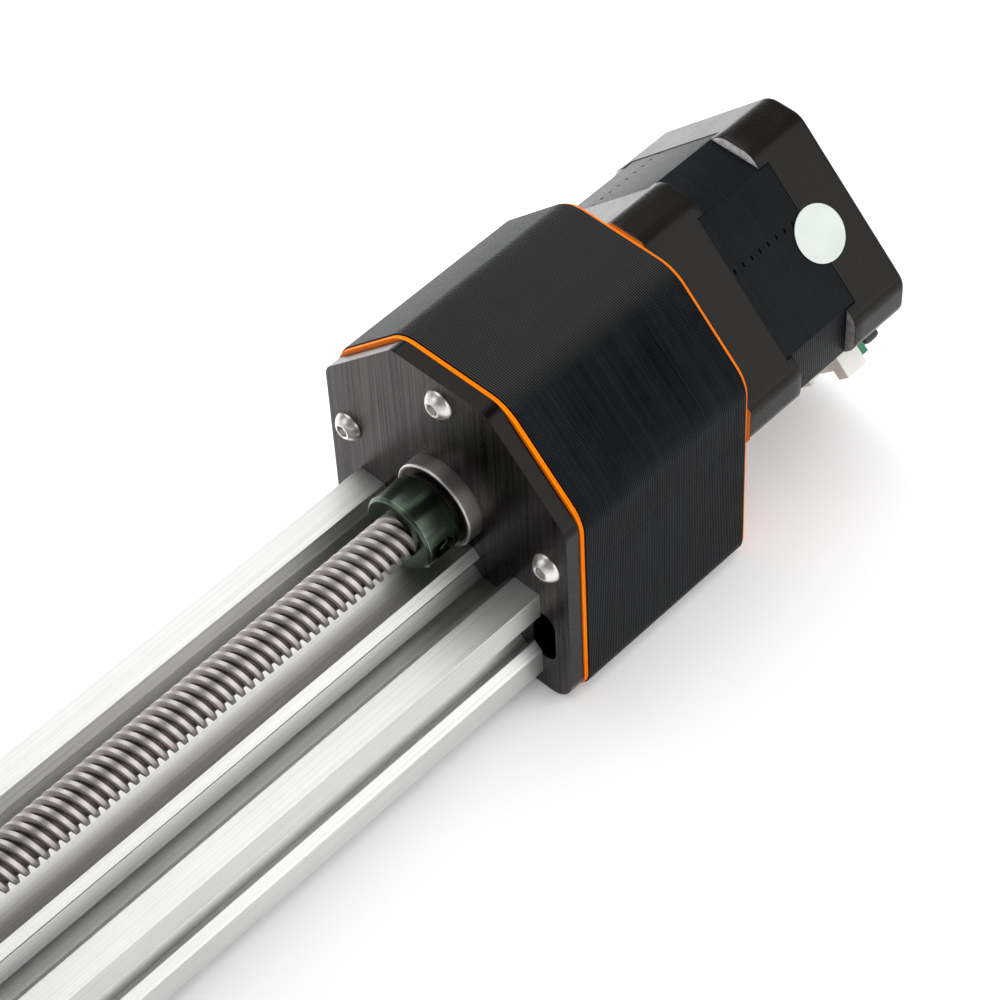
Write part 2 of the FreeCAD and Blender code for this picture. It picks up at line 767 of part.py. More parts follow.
# Stepper motor, in its own axes: its faces look along its own X and Z, and its front face is at y = 0
def motor_body(label, along="0"):
    """A body in the motor's axes, turned by an eighth of a turn about the screw's axis."""
    return new_body(label, y=f"motor_face + {along}", rotation=EIGHTH_TURN)


def case_screw_spots():
    """The four case screws, on the corners of the motor's screw square."""
    half = "motor_screw_pitch / 2"
    return [(f"{across} * {half}", f"{up} * {half}") for across in SIDES.values() for up in SIDES.values()]


def make_motor_cap(label, along, length):
    """A cast cap, a square with cut and rounded corners and a hole at each corner."""
    cap = keep(motor_body(label, along))
    sketch = new_sketch(cap, "XZ_Plane")
    draw_outline(sketch, cut_square("motor_width", "cap_corner"))
    pad(cap, sketch, length)
    round_edges(cap, "cap_round", lengthwise)
    holes = new_sketch(cap, "XZ_Plane")
    for u, v in case_screw_spots():
        draw_circle(holes, u, v, "motor_screw_dia + 2 * fit_gap")
    pocket(cap, holes, length)
    return cap


def make_front_cap():
    """The cap that carries the motor's pilot, the front bearing and the ends of the coils."""
    cap = make_motor_cap("motor_front_cap", "0", "front_cap_length")
    pilot = new_sketch(cap, "XZ_Plane")
    draw_circle(pilot, "0", "0", "pilot_dia")
    pad(cap, pilot, "pilot_height", towards_normal=True)
    bore(cap, stepped_bore("-pilot_height", "seat_shoulder", "cap_wall", "front_cap_length"))


def make_rear_cap():
    """The cap that carries the rear bearing and the connector, with counterbores for the case screws."""
    cap = make_motor_cap("motor_rear_cap", "rear_cap_station - motor_station", "rear_cap_length")
    back = value("rear_cap_length")
    rim = value("motor_width") / 2 - value("cap_corner") - 1

    def on_rim(edge):
        centre = edge.CenterOfMass
        return abs(centre.y - back) < NEAR and not edge.Closed and max(abs(centre.x), abs(centre.z)) > rim

    round_edges(cap, "rear_rim_round", on_rim)
    seat = "rear_cap_length - seat_shoulder - bearing_width"
    bore(cap, [
        ("0", "0"),
        ("cap_cavity_dia / 2", "0"),
        ("cap_cavity_dia / 2", f"{seat} - air_gap"),
        ("bearing_dia / 2 + fit_gap", f"{seat} - air_gap"),
        ("bearing_dia / 2 + fit_gap", "rear_cap_length - seat_shoulder"),
        ("0", "rear_cap_length - seat_shoulder"),
    ])
    counterbores = new_sketch(cap, "XZ_Plane", raised="-rear_cap_length")
    for u, v in case_screw_spots():
        draw_circle(counterbores, u, v, "case_head_dia + 2 * bolt_gap")
    pocket(cap, counterbores, "case_head_height", towards_normal=True)
    notch = new_sketch(cap, "XZ_Plane")
    half = "connector_length / 2 + connector_gap"
    inner = "motor_width / 2 - connector_root - connector_gap"
    draw_outline(notch, rectangle(inner, "motor_width", f"-({half})", half))
    pocket(cap, notch, "connector_height + board_thick + 3 * connector_gap")


def stepped_bore(front, shoulder, wall, back):
    """Half the section of a cap's inside: shaft hole, bearing seat, then the wide cavity."""
    hole = "motor_shaft_dia / 2 + shaft_hole_gap"
    seat = "bearing_dia / 2 + fit_gap"
    cavity = "cap_cavity_dia / 2"
    return [
        ("0", front), (hole, front), (hole, shoulder), (seat, shoulder),
        (seat, wall), (cavity, wall), (cavity, back), ("0", back),
    ]


def make_stator():
    """The lamination stack, slightly shy of the caps and cut deeper at its corners, and its two coils."""
    stack = keep(motor_body("stator_stack", "front_cap_length"))
    sketch = new_sketch(stack, "XZ_Plane")
    draw_outline(sketch, cut_square("motor_width - 2 * stack_recess", "stack_corner"))
    draw_circle(sketch, "0", "0", "rotor_dia + 2 * air_gap")
    for u, v in case_screw_spots():
        draw_circle(sketch, u, v, "motor_screw_dia + 2 * bolt_gap")
    pad(stack, sketch, "stack_length")
    coils = []
    for low in ("front_cap_length - coil_length", "front_cap_length + stack_length"):
        coil = motor_body("stator_coil")
        tube(coil, "XY_Plane", "coil_inner_dia", "coil_outer_dia", low, f"{low} + coil_length")
        coils.append(coil)
    group("stator_coils", coils)


def make_rotor():
    """The motor's shaft, with the rotor pressed on it."""
    length = "shaft_reach + front_cap_length + stack_length + rear_cap_length - seat_shoulder - air_gap"
    shaft = keep(motor_body("motor_shaft"))
    circle = new_sketch(shaft, "XZ_Plane", raised="shaft_reach")
    draw_circle(circle, "0", "0", "motor_shaft_dia")
    pad(shaft, circle, length)
    rotor = keep(motor_body("rotor_core", "front_cap_length"))
    hole = "motor_shaft_dia + 2 * fit_gap"
    tube(rotor, "XY_Plane", hole, "rotor_dia", "rotor_inset", "stack_length - rotor_inset")


def make_motor_bearings():
    """A 5 x 16 x 5 bearing in each cap."""
    lows = ("seat_shoulder", "motor_end - motor_station - seat_shoulder - bearing_width")
    outers = []
    inners = []
    for low in lows:
        high = f"{low} + bearing_width"
        outer = motor_body("motor_bearing_outer")
        tube(outer, "XY_Plane", "bearing_dia - 2 * small_ring", "bearing_dia", low, high)
        outers.append(outer)
        inner = motor_body("motor_bearing_inner")
        bore_dia = "motor_shaft_dia + 2 * fit_gap"
        tube(inner, "XY_Plane", bore_dia, "motor_shaft_dia + 2 * small_ring", low, high)
        inners.append(inner)
    group("motor_bearing_outer_rings", outers)
    group("motor_bearing_inner_rings", inners)
    spots = [("0", f"motor_face + {low} + bearing_width / 2", "axis_height") for low in lows]
    balls("motor_bearing_balls", spots, "small_ball_circle", "small_ball_dia", 8)


def make_case_screws():
    """Four long screws that clamp the stack between the caps, with their heads in the rear cap."""
    screws = []
    head_seat = "front_cap_length + stack_length + rear_cap_length - case_head_height"
    for u, v in case_screw_spots():
        x, z = diagonal(u, v)
        screw = new_body("motor_case_screw", x, f"motor_face + {head_seat}", f"axis_height + {z}")
        shank = f"{head_seat} - case_screw_end"
        height = "case_head_height - 2 * bolt_gap"
        turn(screw, "XY_Plane", screw_profile("case_head_dia", height, "motor_screw_dia", shank, "1"))
        cross = new_sketch(screw, "XZ_Plane", raised=f"-({height})")
        draw_outline(cross, cross_recess("case_head_dia / 3", "case_head_dia / 12"))
        pocket(screw, cross, "case_head_height / 2", towards_normal=True)
        screws.append(screw)
    group("motor_case_screws", screws)


def cross_recess(reach, half_width):
    """The twelve corners of a plus-shaped driver recess."""
    quarter = [(reach, half_width), (half_width, half_width), (half_width, reach)]
    upper = quarter + [(f"-{u}", v) for u, v in quarter[::-1]]
    return upper + [(u, f"-{v}") for u, v in upper[::-1]]


def make_connector():
    """The white connector with its pins and small board, in the rear cap's notch, and a black backing."""
    station = "rear_cap_station - motor_station + connector_gap"
    half = "connector_length / 2"
    face = "motor_width / 2"
    root = f"{face} - connector_root"
    housing = keep(motor_body("connector_housing", station))
    block = new_sketch(housing, "XZ_Plane")
    draw_outline(block, rectangle(root, f"{face} + connector_reach", f"-{half}", half))
    pad(housing, block, "connector_height")
    mouth = new_sketch(housing, "XY_Plane")
    draw_outline(mouth, rectangle(
        f"{root} + connector_sill", f"{face} + connector_reach",
        "connector_wall", "connector_height - connector_wall",
    ))
    opening = pocket(housing, mouth, "connector_length - 2 * connector_wall")
    opening.Midplane = True
    window = new_sketch(housing, "XZ_Plane")
    inner_half = f"({half} - connector_post)"
    draw_outline(window, rectangle(face, f"{face} + connector_reach", f"-{inner_half}", inner_half))
    pocket(housing, window, "connector_wall")

    pins = []
    for step in range(6):
        across = f"{step - 2.5} * pin_pitch"
        pin = motor_body("connector_pin", f"{station} + connector_height / 2")
        rod = new_sketch(pin, "YZ_Plane", raised=f"{root} + connector_sill")
        draw_outline(rod, rectangle(
            "-pin_width / 2", "pin_width / 2", f"{across} - pin_width / 2", f"{across} + pin_width / 2"
        ))
        pad(pin, rod, "pin_length", towards_normal=True)
        pins.append(pin)
    group("connector_pins", pins)

    board = keep(motor_body("connector_board", f"{station} + connector_height"))
    slab = new_sketch(board, "XZ_Plane")
    draw_outline(slab, rectangle(root, f"{face} + board_reach", f"-{half}", half))
    pad(board, slab, "board_thick")

    behind = f"{station} + connector_height + board_thick + 3 * connector_gap"
    backing = keep(motor_body("connector_backing", behind))
    hump = new_sketch(backing, "XZ_Plane")
    draw_outline(hump, rectangle(face, f"{face} + backing_reach", f"-{half}", half))
    thick = "rear_cap_length - connector_height - board_thick - 4 * connector_gap - rear_rim_round / 2"
    pad(backing, hump, thick)
    outside = value(f"{face} + backing_reach")
    round_edges(backing, "backing_round", lambda edge: abs(edge.CenterOfMass.x - outside) < NEAR)


def make_sticker():
    """A blank round sticker that lies across the stack and the rear cap, on the motor's upper right face."""
    sticker = keep(motor_body("blank_sticker", "sticker_along"))
    disc = new_sketch(sticker, "XY_Plane", raised="motor_width / 2")
    draw_circle(disc, "sticker_across", "0", "sticker_dia")
    pad(sticker, disc, "sticker_thick", towards_normal=True)


# Carriage: a plate over the screw, a nut block under it, and four wheels in the rail's side slots
def carriage_body(label, x="0", along="0", z="carriage_bottom"):
    """A body placed from the middle of the carriage plate's underside."""
    return new_body(label, x, f"carriage_centre + {along}", z)


def axle_spots():
    """Name, side and place of the four wheel axles."""
    for side, across in SIDES.items():
        for end, along in ENDS.items():
            yield f"{side}_{end}", across, f"{across} * wheel_side", f"{along} * axle_pitch / 2"


def make_carriage_plate():
    """The flat plate, with holes for the axles, for the nut block, and for whatever it carries."""
    plate = keep(carriage_body("carriage_plate"))
    half_width = "carriage_width / 2"
    half_length = "carriage_length / 2"
    sketch = new_sketch(plate, "XY_Plane")
    draw_outline(sketch, rectangle(f"-{half_width}", half_width, f"-{half_length}", half_length))
    for _, _, x, y in axle_spots():
        draw_circle(sketch, x, y, "axle_dia + 2 * bolt_gap")
    for across in SIDES.values():
        draw_circle(sketch, f"{across} * nut_screw_pitch / 2", "0", "end_screw_dia + 2 * bolt_gap")
        for along in ENDS.values():
            pitch = "carriage_hole_pitch / 2"
            draw_circle(sketch, f"{across} * {pitch}", f"{along} * {pitch}", "end_screw_dia + 2 * bolt_gap")
    pad(plate, sketch, "carriage_thick", towards_normal=True)
    round_edges(plate, "carriage_round", upright)


def make_nut_block():
    """The block under the plate, the bronze nut in it, and its two screws."""
    block = keep(carriage_body("nut_block"))
    half = "nut_block_width / 2"
    sketch = new_sketch(block, "XZ_Plane", raised="nut_block_length / 2")
    right = [
        (half, "0"),
        (half, "nut_block_chamfer - nut_block_height"),
        (f"{half} - nut_block_chamfer", "-nut_block_height"),
    ]
    draw_outline(sketch, right + [(f"-({u})", v) for u, v in right[::-1]])
    draw_circle(sketch, "0", "-carriage_lift", "lead_nut_dia + 2 * fit_gap")
    pad(block, sketch, "nut_block_length")
    holes = new_sketch(block, "XY_Plane")
    for across in SIDES.values():
        draw_circle(holes, f"{across} * nut_screw_pitch / 2", "0", "end_screw_dia + 2 * fit_gap")
    pocket(block, holes, "nut_screw_grip + fit_gap")

    nut = keep(carriage_body("lead_nut", z="axis_height"))
    start = "-nut_block_length / 2"
    bore_radius = "screw_dia / 2 + lead_nut_gap"
    turn(nut, "XY_Plane", [
        (bore_radius, f"{start} - lead_nut_flange"),
        ("lead_nut_flange_dia / 2", f"{start} - lead_nut_flange"),
        ("lead_nut_flange_dia / 2", start),
        ("lead_nut_dia / 2", start),
        ("lead_nut_dia / 2", "nut_block_length / 2"),
        (bore_radius, "nut_block_length / 2"),
    ])
    screws = []
    for across in SIDES.values():
        x = f"{across} * nut_screw_pitch / 2"
        screw = carriage_body("nut_block_screw", x, z="carriage_bottom + carriage_thick")
        shank = "carriage_thick + nut_screw_grip"
        screws.append(upright_screw(screw, shank))
    group("nut_block_screws", screws)


def upright_screw(body, shank):
    """A low-headed screw that points down, with a hexagon socket in its head."""
    turn(body, "XZ_Plane", screw_profile("end_head_dia", "end_head_height", "end_screw_dia", shank, "1"))
    socket = new_sketch(body, "XY_Plane", raised="end_head_height")
    draw_outline(socket, hexagon("end_socket"))
    pocket(body, socket, "end_head_height / 2")
    return body


def make_axles():
    """Axle screws, spacers, eccentric bushes on the right, the bearings' fixed rings, and lock nuts."""
    labels = (
        "wheel_axles", "wheel_spacers", "eccentric_bushes",
        "wheel_bearing_inner_rings", "wheel_bearing_shims", "axle_nuts",
    )
    members = {label: [] for label in labels}
    hole = "axle_dia + 2 * bolt_gap"
    snug = "axle_dia + 2 * fit_gap"
    ring = "motor_shaft_dia + 2 * small_ring"
    for name, across, x, y in axle_spots():
        axle = carriage_body(f"wheel_axle_{name}", x, y, "carriage_bottom + carriage_thick")
        shank = "carriage_thick + spacer_drop + wheel_stack + axle_nut_height + axle_tail"
        members["wheel_axles"].append(upright_screw(axle, shank))
        bush = "eccentric_length" if across == SIDES["right"] else "0"
        spacer = carriage_body(f"wheel_spacer_{name}", x, y)
        tube(spacer, "XZ_Plane", hole, "wheel_spacer_dia", "-spacer_drop", f"-{bush}")
        members["wheel_spacers"].append(spacer)
        if bush != "0":
            eccentric = carriage_body(f"eccentric_bush_{name}", x, y)
            sketch = new_sketch(eccentric, "XY_Plane")
            draw_outline(sketch, hexagon("eccentric_flats"))
            draw_circle(sketch, "0", "0", hole)
            pad(eccentric, sketch, "eccentric_length")
            members["eccentric_bushes"].append(eccentric)
        for low in ("-wheel_stack / 2", "wheel_shoulder / 2"):
            inner = carriage_body(f"wheel_bearing_inner_{name}", x, y, "rail_centre_height")
            tube(inner, "XZ_Plane", snug, ring, low, f"{low} + bearing_width")
            members["wheel_bearing_inner_rings"].append(inner)
        shim = carriage_body(f"wheel_bearing_shim_{name}", x, y, "rail_centre_height")
        tube(shim, "XZ_Plane", snug, ring, "-wheel_shoulder / 2", "wheel_shoulder / 2")
        members["wheel_bearing_shims"].append(shim)
        nut = carriage_body(f"axle_nut_{name}", x, y, "wheel_foot")
        sketch = new_sketch(nut, "XY_Plane")
        draw_outline(sketch, hexagon("axle_nut_flats"))
        draw_circle(sketch, "0", "0", snug)
        pad(nut, sketch, "axle_nut_height")
        members["axle_nuts"].append(nut)
    for label, bodies in members.items():
        group(label, bodies)


def make_wheels():
    """Four vee-edged wheels, each turning on the outer rings of its two bearings."""
    edge = "wheel_dia / 2"
    hub = f"({edge} - (wheel_width - wheel_flat) / 2)"
    seat = "bearing_dia / 2 + fit_gap"
    shoulder = "bearing_dia / 2 - wheel_shoulder_height"
    for name, _, x, y in axle_spots():
        wheel = keep(carriage_body(f"wheel_{name}", x, y, "rail_centre_height"))
        upper = [
            (edge, "wheel_flat / 2"), (hub, "wheel_width / 2"), (seat, "wheel_width / 2"),
            (seat, "wheel_shoulder / 2"), (shoulder, "wheel_shoulder / 2"),
        ]
        turn(wheel, "XZ_Plane", upper + [(u, f"-{v}") for u, v in upper[::-1]])
        rings = []
        for low in ("-wheel_stack / 2", "wheel_shoulder / 2"):
            outer = carriage_body(f"wheel_bearing_outer_{name}", x, y, "rail_centre_height")
            track = "bearing_dia - 2 * small_ring"
            tube(outer, "XZ_Plane", track, "bearing_dia", low, f"{low} + bearing_width")
            rings.append(outer)
        group(f"wheel_bearing_rings_{name}", rings)


def make_wheel_balls():
    """The balls between the wheel bearings' fixed and turning rings."""
    offset = "(bearing_width + wheel_shoulder) / 2"
    spots = []
    for _, _, x, y in axle_spots():
        for lift in SIDES.values():
            spots.append((x, f"carriage_centre + {y}", f"rail_centre_height + {lift} * {offset}"))
    balls("wheel_bearing_balls", spots, "small_ball_circle", "small_ball_dia", 7, flat=True)


def check_document():
    """Stop if any object failed, or if a node has no sound shape."""
    doc.recompute()
    failed = [item.Label for item in doc.Objects if {"Invalid", "Error"} & set(item.State)]
    unsound = [node.Label for node in nodes if node.Shape.isNull() or not node.Shape.isValid()]
    if failed or unsound:
        raise RuntimeError(f"failed objects: {failed}, unsound nodes: {unsound}")


def write_nodes():
    """One STEP file for each node."""
    os.makedirs("parts", exist_ok=True)
    for node in nodes:
        node.Shape.exportStep(f"parts/{node.Label}.step")
        print(node.Label, len(node.Shape.Solids), round(node.Shape.Volume, 1))
    print(len(nodes), "nodes")


fill_sheet()
make_rail()
make_ends()
make_lead_screw()
make_coupler()
make_cover()
make_gaskets()
make_motor_fixings()
make_front_cap()
make_rear_cap()
make_stator()
make_rotor()
make_motor_bearings()
make_case_screws()
make_connector()
make_sticker()
make_carriage_plate()
make_nut_block()
make_axles()
make_wheels()
make_wheel_balls()
check_document()
write_nodes()
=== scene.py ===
# %% [markdown]
# # Lead screw linear actuator
#
# A stepper motor turns a lead screw, and the screw drives a small wheeled carriage along an aluminium rail.
# The solid model is loaded first and stays where it is. This lesson gives every part of it the look of the
# real thing: cut threads, printed layers, brushed plates and broken edges. All lengths are in metres.

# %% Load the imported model
import json
import math

import bmesh
import bpy
import numpy as np
from mathutils import Matrix, Vector
from mathutils.geometry import tessellate_polygon


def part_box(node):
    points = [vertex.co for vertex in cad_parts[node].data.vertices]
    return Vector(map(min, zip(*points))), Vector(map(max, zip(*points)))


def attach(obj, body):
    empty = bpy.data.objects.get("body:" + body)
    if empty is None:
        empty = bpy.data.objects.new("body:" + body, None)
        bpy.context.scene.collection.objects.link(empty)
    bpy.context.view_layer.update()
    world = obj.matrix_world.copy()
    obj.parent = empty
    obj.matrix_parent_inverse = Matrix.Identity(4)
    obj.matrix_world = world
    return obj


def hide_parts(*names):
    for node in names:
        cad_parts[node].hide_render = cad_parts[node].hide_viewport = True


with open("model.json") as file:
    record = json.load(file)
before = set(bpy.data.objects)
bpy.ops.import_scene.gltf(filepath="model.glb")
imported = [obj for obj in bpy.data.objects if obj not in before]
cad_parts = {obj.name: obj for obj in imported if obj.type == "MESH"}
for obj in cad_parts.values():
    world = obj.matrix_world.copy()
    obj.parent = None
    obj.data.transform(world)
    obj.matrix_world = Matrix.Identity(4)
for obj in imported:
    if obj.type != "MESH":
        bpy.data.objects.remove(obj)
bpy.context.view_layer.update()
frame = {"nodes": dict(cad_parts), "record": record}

nodes = frame["nodes"]
MM = 0.001
members_of = frame["record"]["behaviour"]["bodies"]
body_of = {node: body for body, members in members_of.items() for node in members}
slot_of = {entry["node"]: entry["material_slot"] for entry in frame["record"]["subparts"]}

# %% [markdown]
# ## The camera
#
# The photograph looks down on the motor's end of the rail from the right, through a long lens, and is turned
# by a few degrees. A camera has a place, two angles of view and a roll, so it is written with those four
# values and no helper object has to be aimed at.

# %% Camera at the photograph's view
CAMERA_PLACE = Vector((0.25883, -0.14986, 0.45186))
CAMERA_AZIMUTH = math.radians(46.181)
CAMERA_ELEVATION = math.radians(50.257)
CAMERA_ROLL = math.radians(-3.414)
CAMERA_LENS = 123.85
SENSOR_WIDTH = 36
NEAREST = 0.01


def camera_axes(azimuth, elevation, roll):
    """Right, up and back: back points from the scene to the camera, and the roll turns right towards up."""
    flat = Vector((math.cos(azimuth), math.sin(azimuth), 0))
    back = Vector((
        math.sin(azimuth) * math.cos(elevation),
        -math.cos(azimuth) * math.cos(elevation),
        math.sin(elevation),
    ))
    upright = back.cross(flat)
    right = flat * math.cos(roll) + upright * math.sin(roll)
    return right, back.cross(right), back


lens = bpy.data.cameras.new("photo_camera")
lens.lens = CAMERA_LENS
lens.sensor_width = SENSOR_WIDTH
lens.clip_start = NEAREST
camera = bpy.data.objects.new("photo_camera", lens)
turned = Matrix(camera_axes(CAMERA_AZIMUTH, CAMERA_ELEVATION, CAMERA_ROLL)).transposed()
camera.matrix_world = Matrix.Translation(CAMERA_PLACE) @ turned.to_4x4()
bpy.context.scene.collection.objects.link(camera)
bpy.context.scene.camera = camera
print("camera", tuple(round(part, 3) for part in camera.location), "lens", lens.lens)

# %% [markdown]
# ## Tools for shader nodes
#
# A finish is a small network of nodes. Placing nodes and links by hand in Blender's editor is the usual way;
# in a script three short helpers do the same and keep each finish readable. The sockets of a Mix node have
# numbers, because several of them share a name.

# %% Node helpers
MIX_FACTOR, MIX_A, MIX_B, MIX_RESULT = 0, 2, 3, 0
COLOUR_A, COLOUR_B, COLOUR_RESULT = 6, 7, 2


def add_node(tree, kind, inputs=None, **settings):
    """One node of a tree with its settings, and with fixed values on its named or numbered sockets."""
    node = tree.nodes.new(kind)
    for name, content in settings.items():
        setattr(node, name, content)
    for socket, content in (inputs or {}).items():
        node.inputs[socket].default_value = content
    return node


def join(tree, *links):
    """Links in a tree, each from an output of one node to an input of another."""
    for source, out, target, into in links:
        tree.links.new(source.outputs[out], target.inputs[into])


def new_group(name, inputs, outputs):
    """A shader node group with named sockets, and its entrance and exit."""
    group = bpy.data.node_groups.new(name, "ShaderNodeTree")
    for socket, kind in inputs.items():
        group.interface.new_socket(socket, in_out="INPUT", socket_type="NodeSocket" + kind)
    for socket in outputs:
        group.interface.new_socket(socket, in_out="OUTPUT", socket_type="NodeSocketFloat")
    return group, group.nodes.new("NodeGroupInput"), group.nodes.new("NodeGroupOutput")


print("node helpers are ready")

# %% [markdown]
# ## Light
#
# The object stands on a flat white sheet, and the sky stands for a white wall beyond it, so it is bright near
# the horizon and dim above. Three soft panels hang near it: the left one is mirrored by the rail's flat
# faces, the right one by the faces of its slots, the front one by the screw heads. A broad lamp above lights
# the sheet, and one low at the left makes it bright where the black upper left faces mirror it. These two and
# the one at the back are hidden from reflections, so that they whiten no black face. The standard view keeps
# the white of the sheet and the orange pure.

# %% Lamps and sky
SKY_COLOUR = (0.97, 0.98, 1.0)
SKY_DIM = 0.2
SKY_BRIGHT = 0.95
SKY_EDGE = 0.05
SKY_REACH = 0.42
MOTOR_END = Vector((0, 0.06, 0.03))
LEFT_OF_MOTOR = Vector((-0.16, 0.16, 0))


def hang_lamp(name, place, size, watts, mirrored, aim=MOTOR_END):
    """A flat soft lamp that looks at the motor's end, or at another place that is given."""
    light = bpy.data.lights.new(name, "AREA")
    light.shape = "RECTANGLE"
    light.size, light.size_y = size
    light.energy = watts
    lamp = bpy.data.objects.new(name, light)
    lamp.location = place
    lamp.rotation_mode = "QUATERNION"
    lamp.rotation_quaternion = (aim - Vector(place)).to_track_quat("-Z", "Y")
    lamp.visible_camera = False
    lamp.visible_glossy = mirrored
    bpy.context.scene.collection.objects.link(lamp)


hang_lamp("top_lamp", (0.4, 0.22, 1.3), size=(1.8, 1.8), watts=17.5, mirrored=False)
hang_lamp("back_panel", (-0.42, 0.30, 0.17), size=(0.5, 0.3), watts=1.3, mirrored=False)
hang_lamp("sheet_lamp", (-0.17, 0.16, 0.10), size=(0.14, 0.18), watts=0.27, mirrored=False, aim=LEFT_OF_MOTOR)
hang_lamp("front_panel", (-0.18, -0.21, 0.27), size=(0.22, 0.22), watts=0.17, mirrored=True)
hang_lamp("left_panel", (-0.16, 0.135, 0.31), size=(0.24, 0.30), watts=0.41, mirrored=True)
hang_lamp("right_panel", (0.285, 0.18, 0.19), size=(0.42, 0.28), watts=0.57, mirrored=True)

sky = bpy.data.worlds.new("studio")
sky.use_nodes = True
heaven = sky.node_tree
backdrop = heaven.nodes["Background"]
backdrop.inputs["Color"].default_value = (*SKY_COLOUR, 1)
heading = add_node(heaven, "ShaderNodeTexCoord")
ways = add_node(heaven, "ShaderNodeSeparateXYZ")
glow = add_node(heaven, "ShaderNodeMapRange", {
    "From Min": SKY_EDGE, "From Max": SKY_REACH, "To Min": SKY_BRIGHT, "To Max": SKY_DIM,
}, interpolation_type="SMOOTHSTEP")
join(heaven, (heading, "Generated", ways, 0), (ways, "Z", glow, "Value"),
     (glow, "Result", backdrop, "Strength"))
bpy.context.scene.world = sky
bpy.context.scene.view_settings.view_transform = "Standard"
print(len(bpy.data.lights), "lamps and a sky that is bright near the horizon")

# %% [markdown]
# ## Shared effects
#
# Three effects are wanted in many finishes, so each is a node group. Surface marks mix drawn lines, fine
# grain and broad blotches. Layer tones give each printed layer or lamination a shade of its own, and a ridge
# value that is 1 on each layer and falls to 0 in the grooves between layers: finishes with layers take their
# colour darker there, which is painted shade in the grooves. Edge wear lets a paler colour through where an
# edge was broken: the edge's faces carry a value of up to 1 in an attribute, which a bent or thin face shows
# exactly, while the curvature that a renderer guesses smears over large flat faces.

# %% Surface marks
NOISE_LOW, NOISE_HIGH = 0.3, 0.7
NOISE_ROUGHNESS = 0.6
FINE_DETAIL = 2.0
BLOTCH_DETAIL = 3.0
GRAIN_SHARE = 0.5
surface_marks, marks_in, marks_out = new_group("surface_marks", {
    "Vector": "Vector", "Stretch": "Vector", "Grain Scale": "Float", "Blotch Scale": "Float",
    "Line Share": "Float",
}, ("Tone", "Shine", "Height"))


def spread_noise(tree, scale_socket, detail):
    """Noise at a given scale, spread so that its middle part fills the range from 0 to 1."""
    noise = add_node(tree, "ShaderNodeTexNoise", {
        "Scale": 1.0, "Detail": detail, "Roughness": NOISE_ROUGHNESS,
    })
    spread = add_node(tree, "ShaderNodeMapRange", {"From Min": NOISE_LOW, "From Max": NOISE_HIGH})
    join(tree, (noise, "Fac", spread, "Value"))
    if scale_socket:
        join(tree, (marks_in, scale_socket, noise, "Scale"), (marks_in, "Vector", noise, "Vector"))
    return noise, spread


def mix_values(tree, factor, low, high):
    """A plain mix of two values; the factor is a number or the entrance socket of that name."""
    mix = add_node(tree, "ShaderNodeMix", data_type="FLOAT")
    join(tree, (low, 0, mix, MIX_A), (high, 0, mix, MIX_B))
    if isinstance(factor, str):
        join(tree, (marks_in, factor, mix, MIX_FACTOR))
    else:
        mix.inputs[MIX_FACTOR].default_value = factor
    return mix


stretched = add_node(surface_marks, "ShaderNodeVectorMath", operation="MULTIPLY")
join(surface_marks, (marks_in, "Vector", stretched, 0), (marks_in, "Stretch", stretched, 1))
line_noise, lines = spread_noise(surface_marks, None, FINE_DETAIL)
join(surface_marks, (stretched, 0, line_noise, "Vector"))
grain = spread_noise(surface_marks, "Grain Scale", FINE_DETAIL)[1]
blotch = spread_noise(surface_marks, "Blotch Scale", BLOTCH_DETAIL)[1]
tone = mix_values(surface_marks, "Line Share", blotch, lines)
shine = mix_values(surface_marks, GRAIN_SHARE, tone, grain)
height = mix_values(surface_marks, "Line Share", grain, lines)
join(surface_marks, (tone, MIX_RESULT, marks_out, "Tone"), (shine, MIX_RESULT, marks_out, "Shine"),
     (height, MIX_RESULT, marks_out, "Height"))
print("group", surface_marks.name, "with", len(surface_marks.nodes), "nodes")

# %% Layer tones
HALF_LAYER = 0.5
RIDGE_FULL = 0.4
layer_tones, layers_in, layers_out = new_group("layer_tones", {
    "Vector": "Vector", "Start": "Float", "Thickness": "Float",
}, ("Shade", "Ridge"))
parts = add_node(layer_tones, "ShaderNodeSeparateXYZ")
above = add_node(layer_tones, "ShaderNodeMath", operation="SUBTRACT")
count = add_node(layer_tones, "ShaderNodeMath", operation="DIVIDE")
whole = add_node(layer_tones, "ShaderNodeMath", operation="FLOOR")
shade = add_node(layer_tones, "ShaderNodeTexWhiteNoise", noise_dimensions="1D")
bounce = add_node(layer_tones, "ShaderNodeMath", {1: HALF_LAYER}, operation="PINGPONG")
# Ridge: 1 in the middle of a layer and 0 at its grooves; finishes use it to paint shade into the grooves.
ridge = add_node(layer_tones, "ShaderNodeMapRange", {"From Max": RIDGE_FULL}, interpolation_type="SMOOTHSTEP")
join(layer_tones, (layers_in, "Vector", parts, 0), (parts, "Y", above, 0), (layers_in, "Start", above, 1),
     (above, 0, count, 0), (layers_in, "Thickness", count, 1), (count, 0, whole, 0), (whole, 0, shade, "W"),
     (count, 0, bounce, 0), (bounce, 0, ridge, "Value"), (shade, "Value", layers_out, "Shade"),
     (ridge, "Result", layers_out, "Ridge"))
print("group", layer_tones.name)

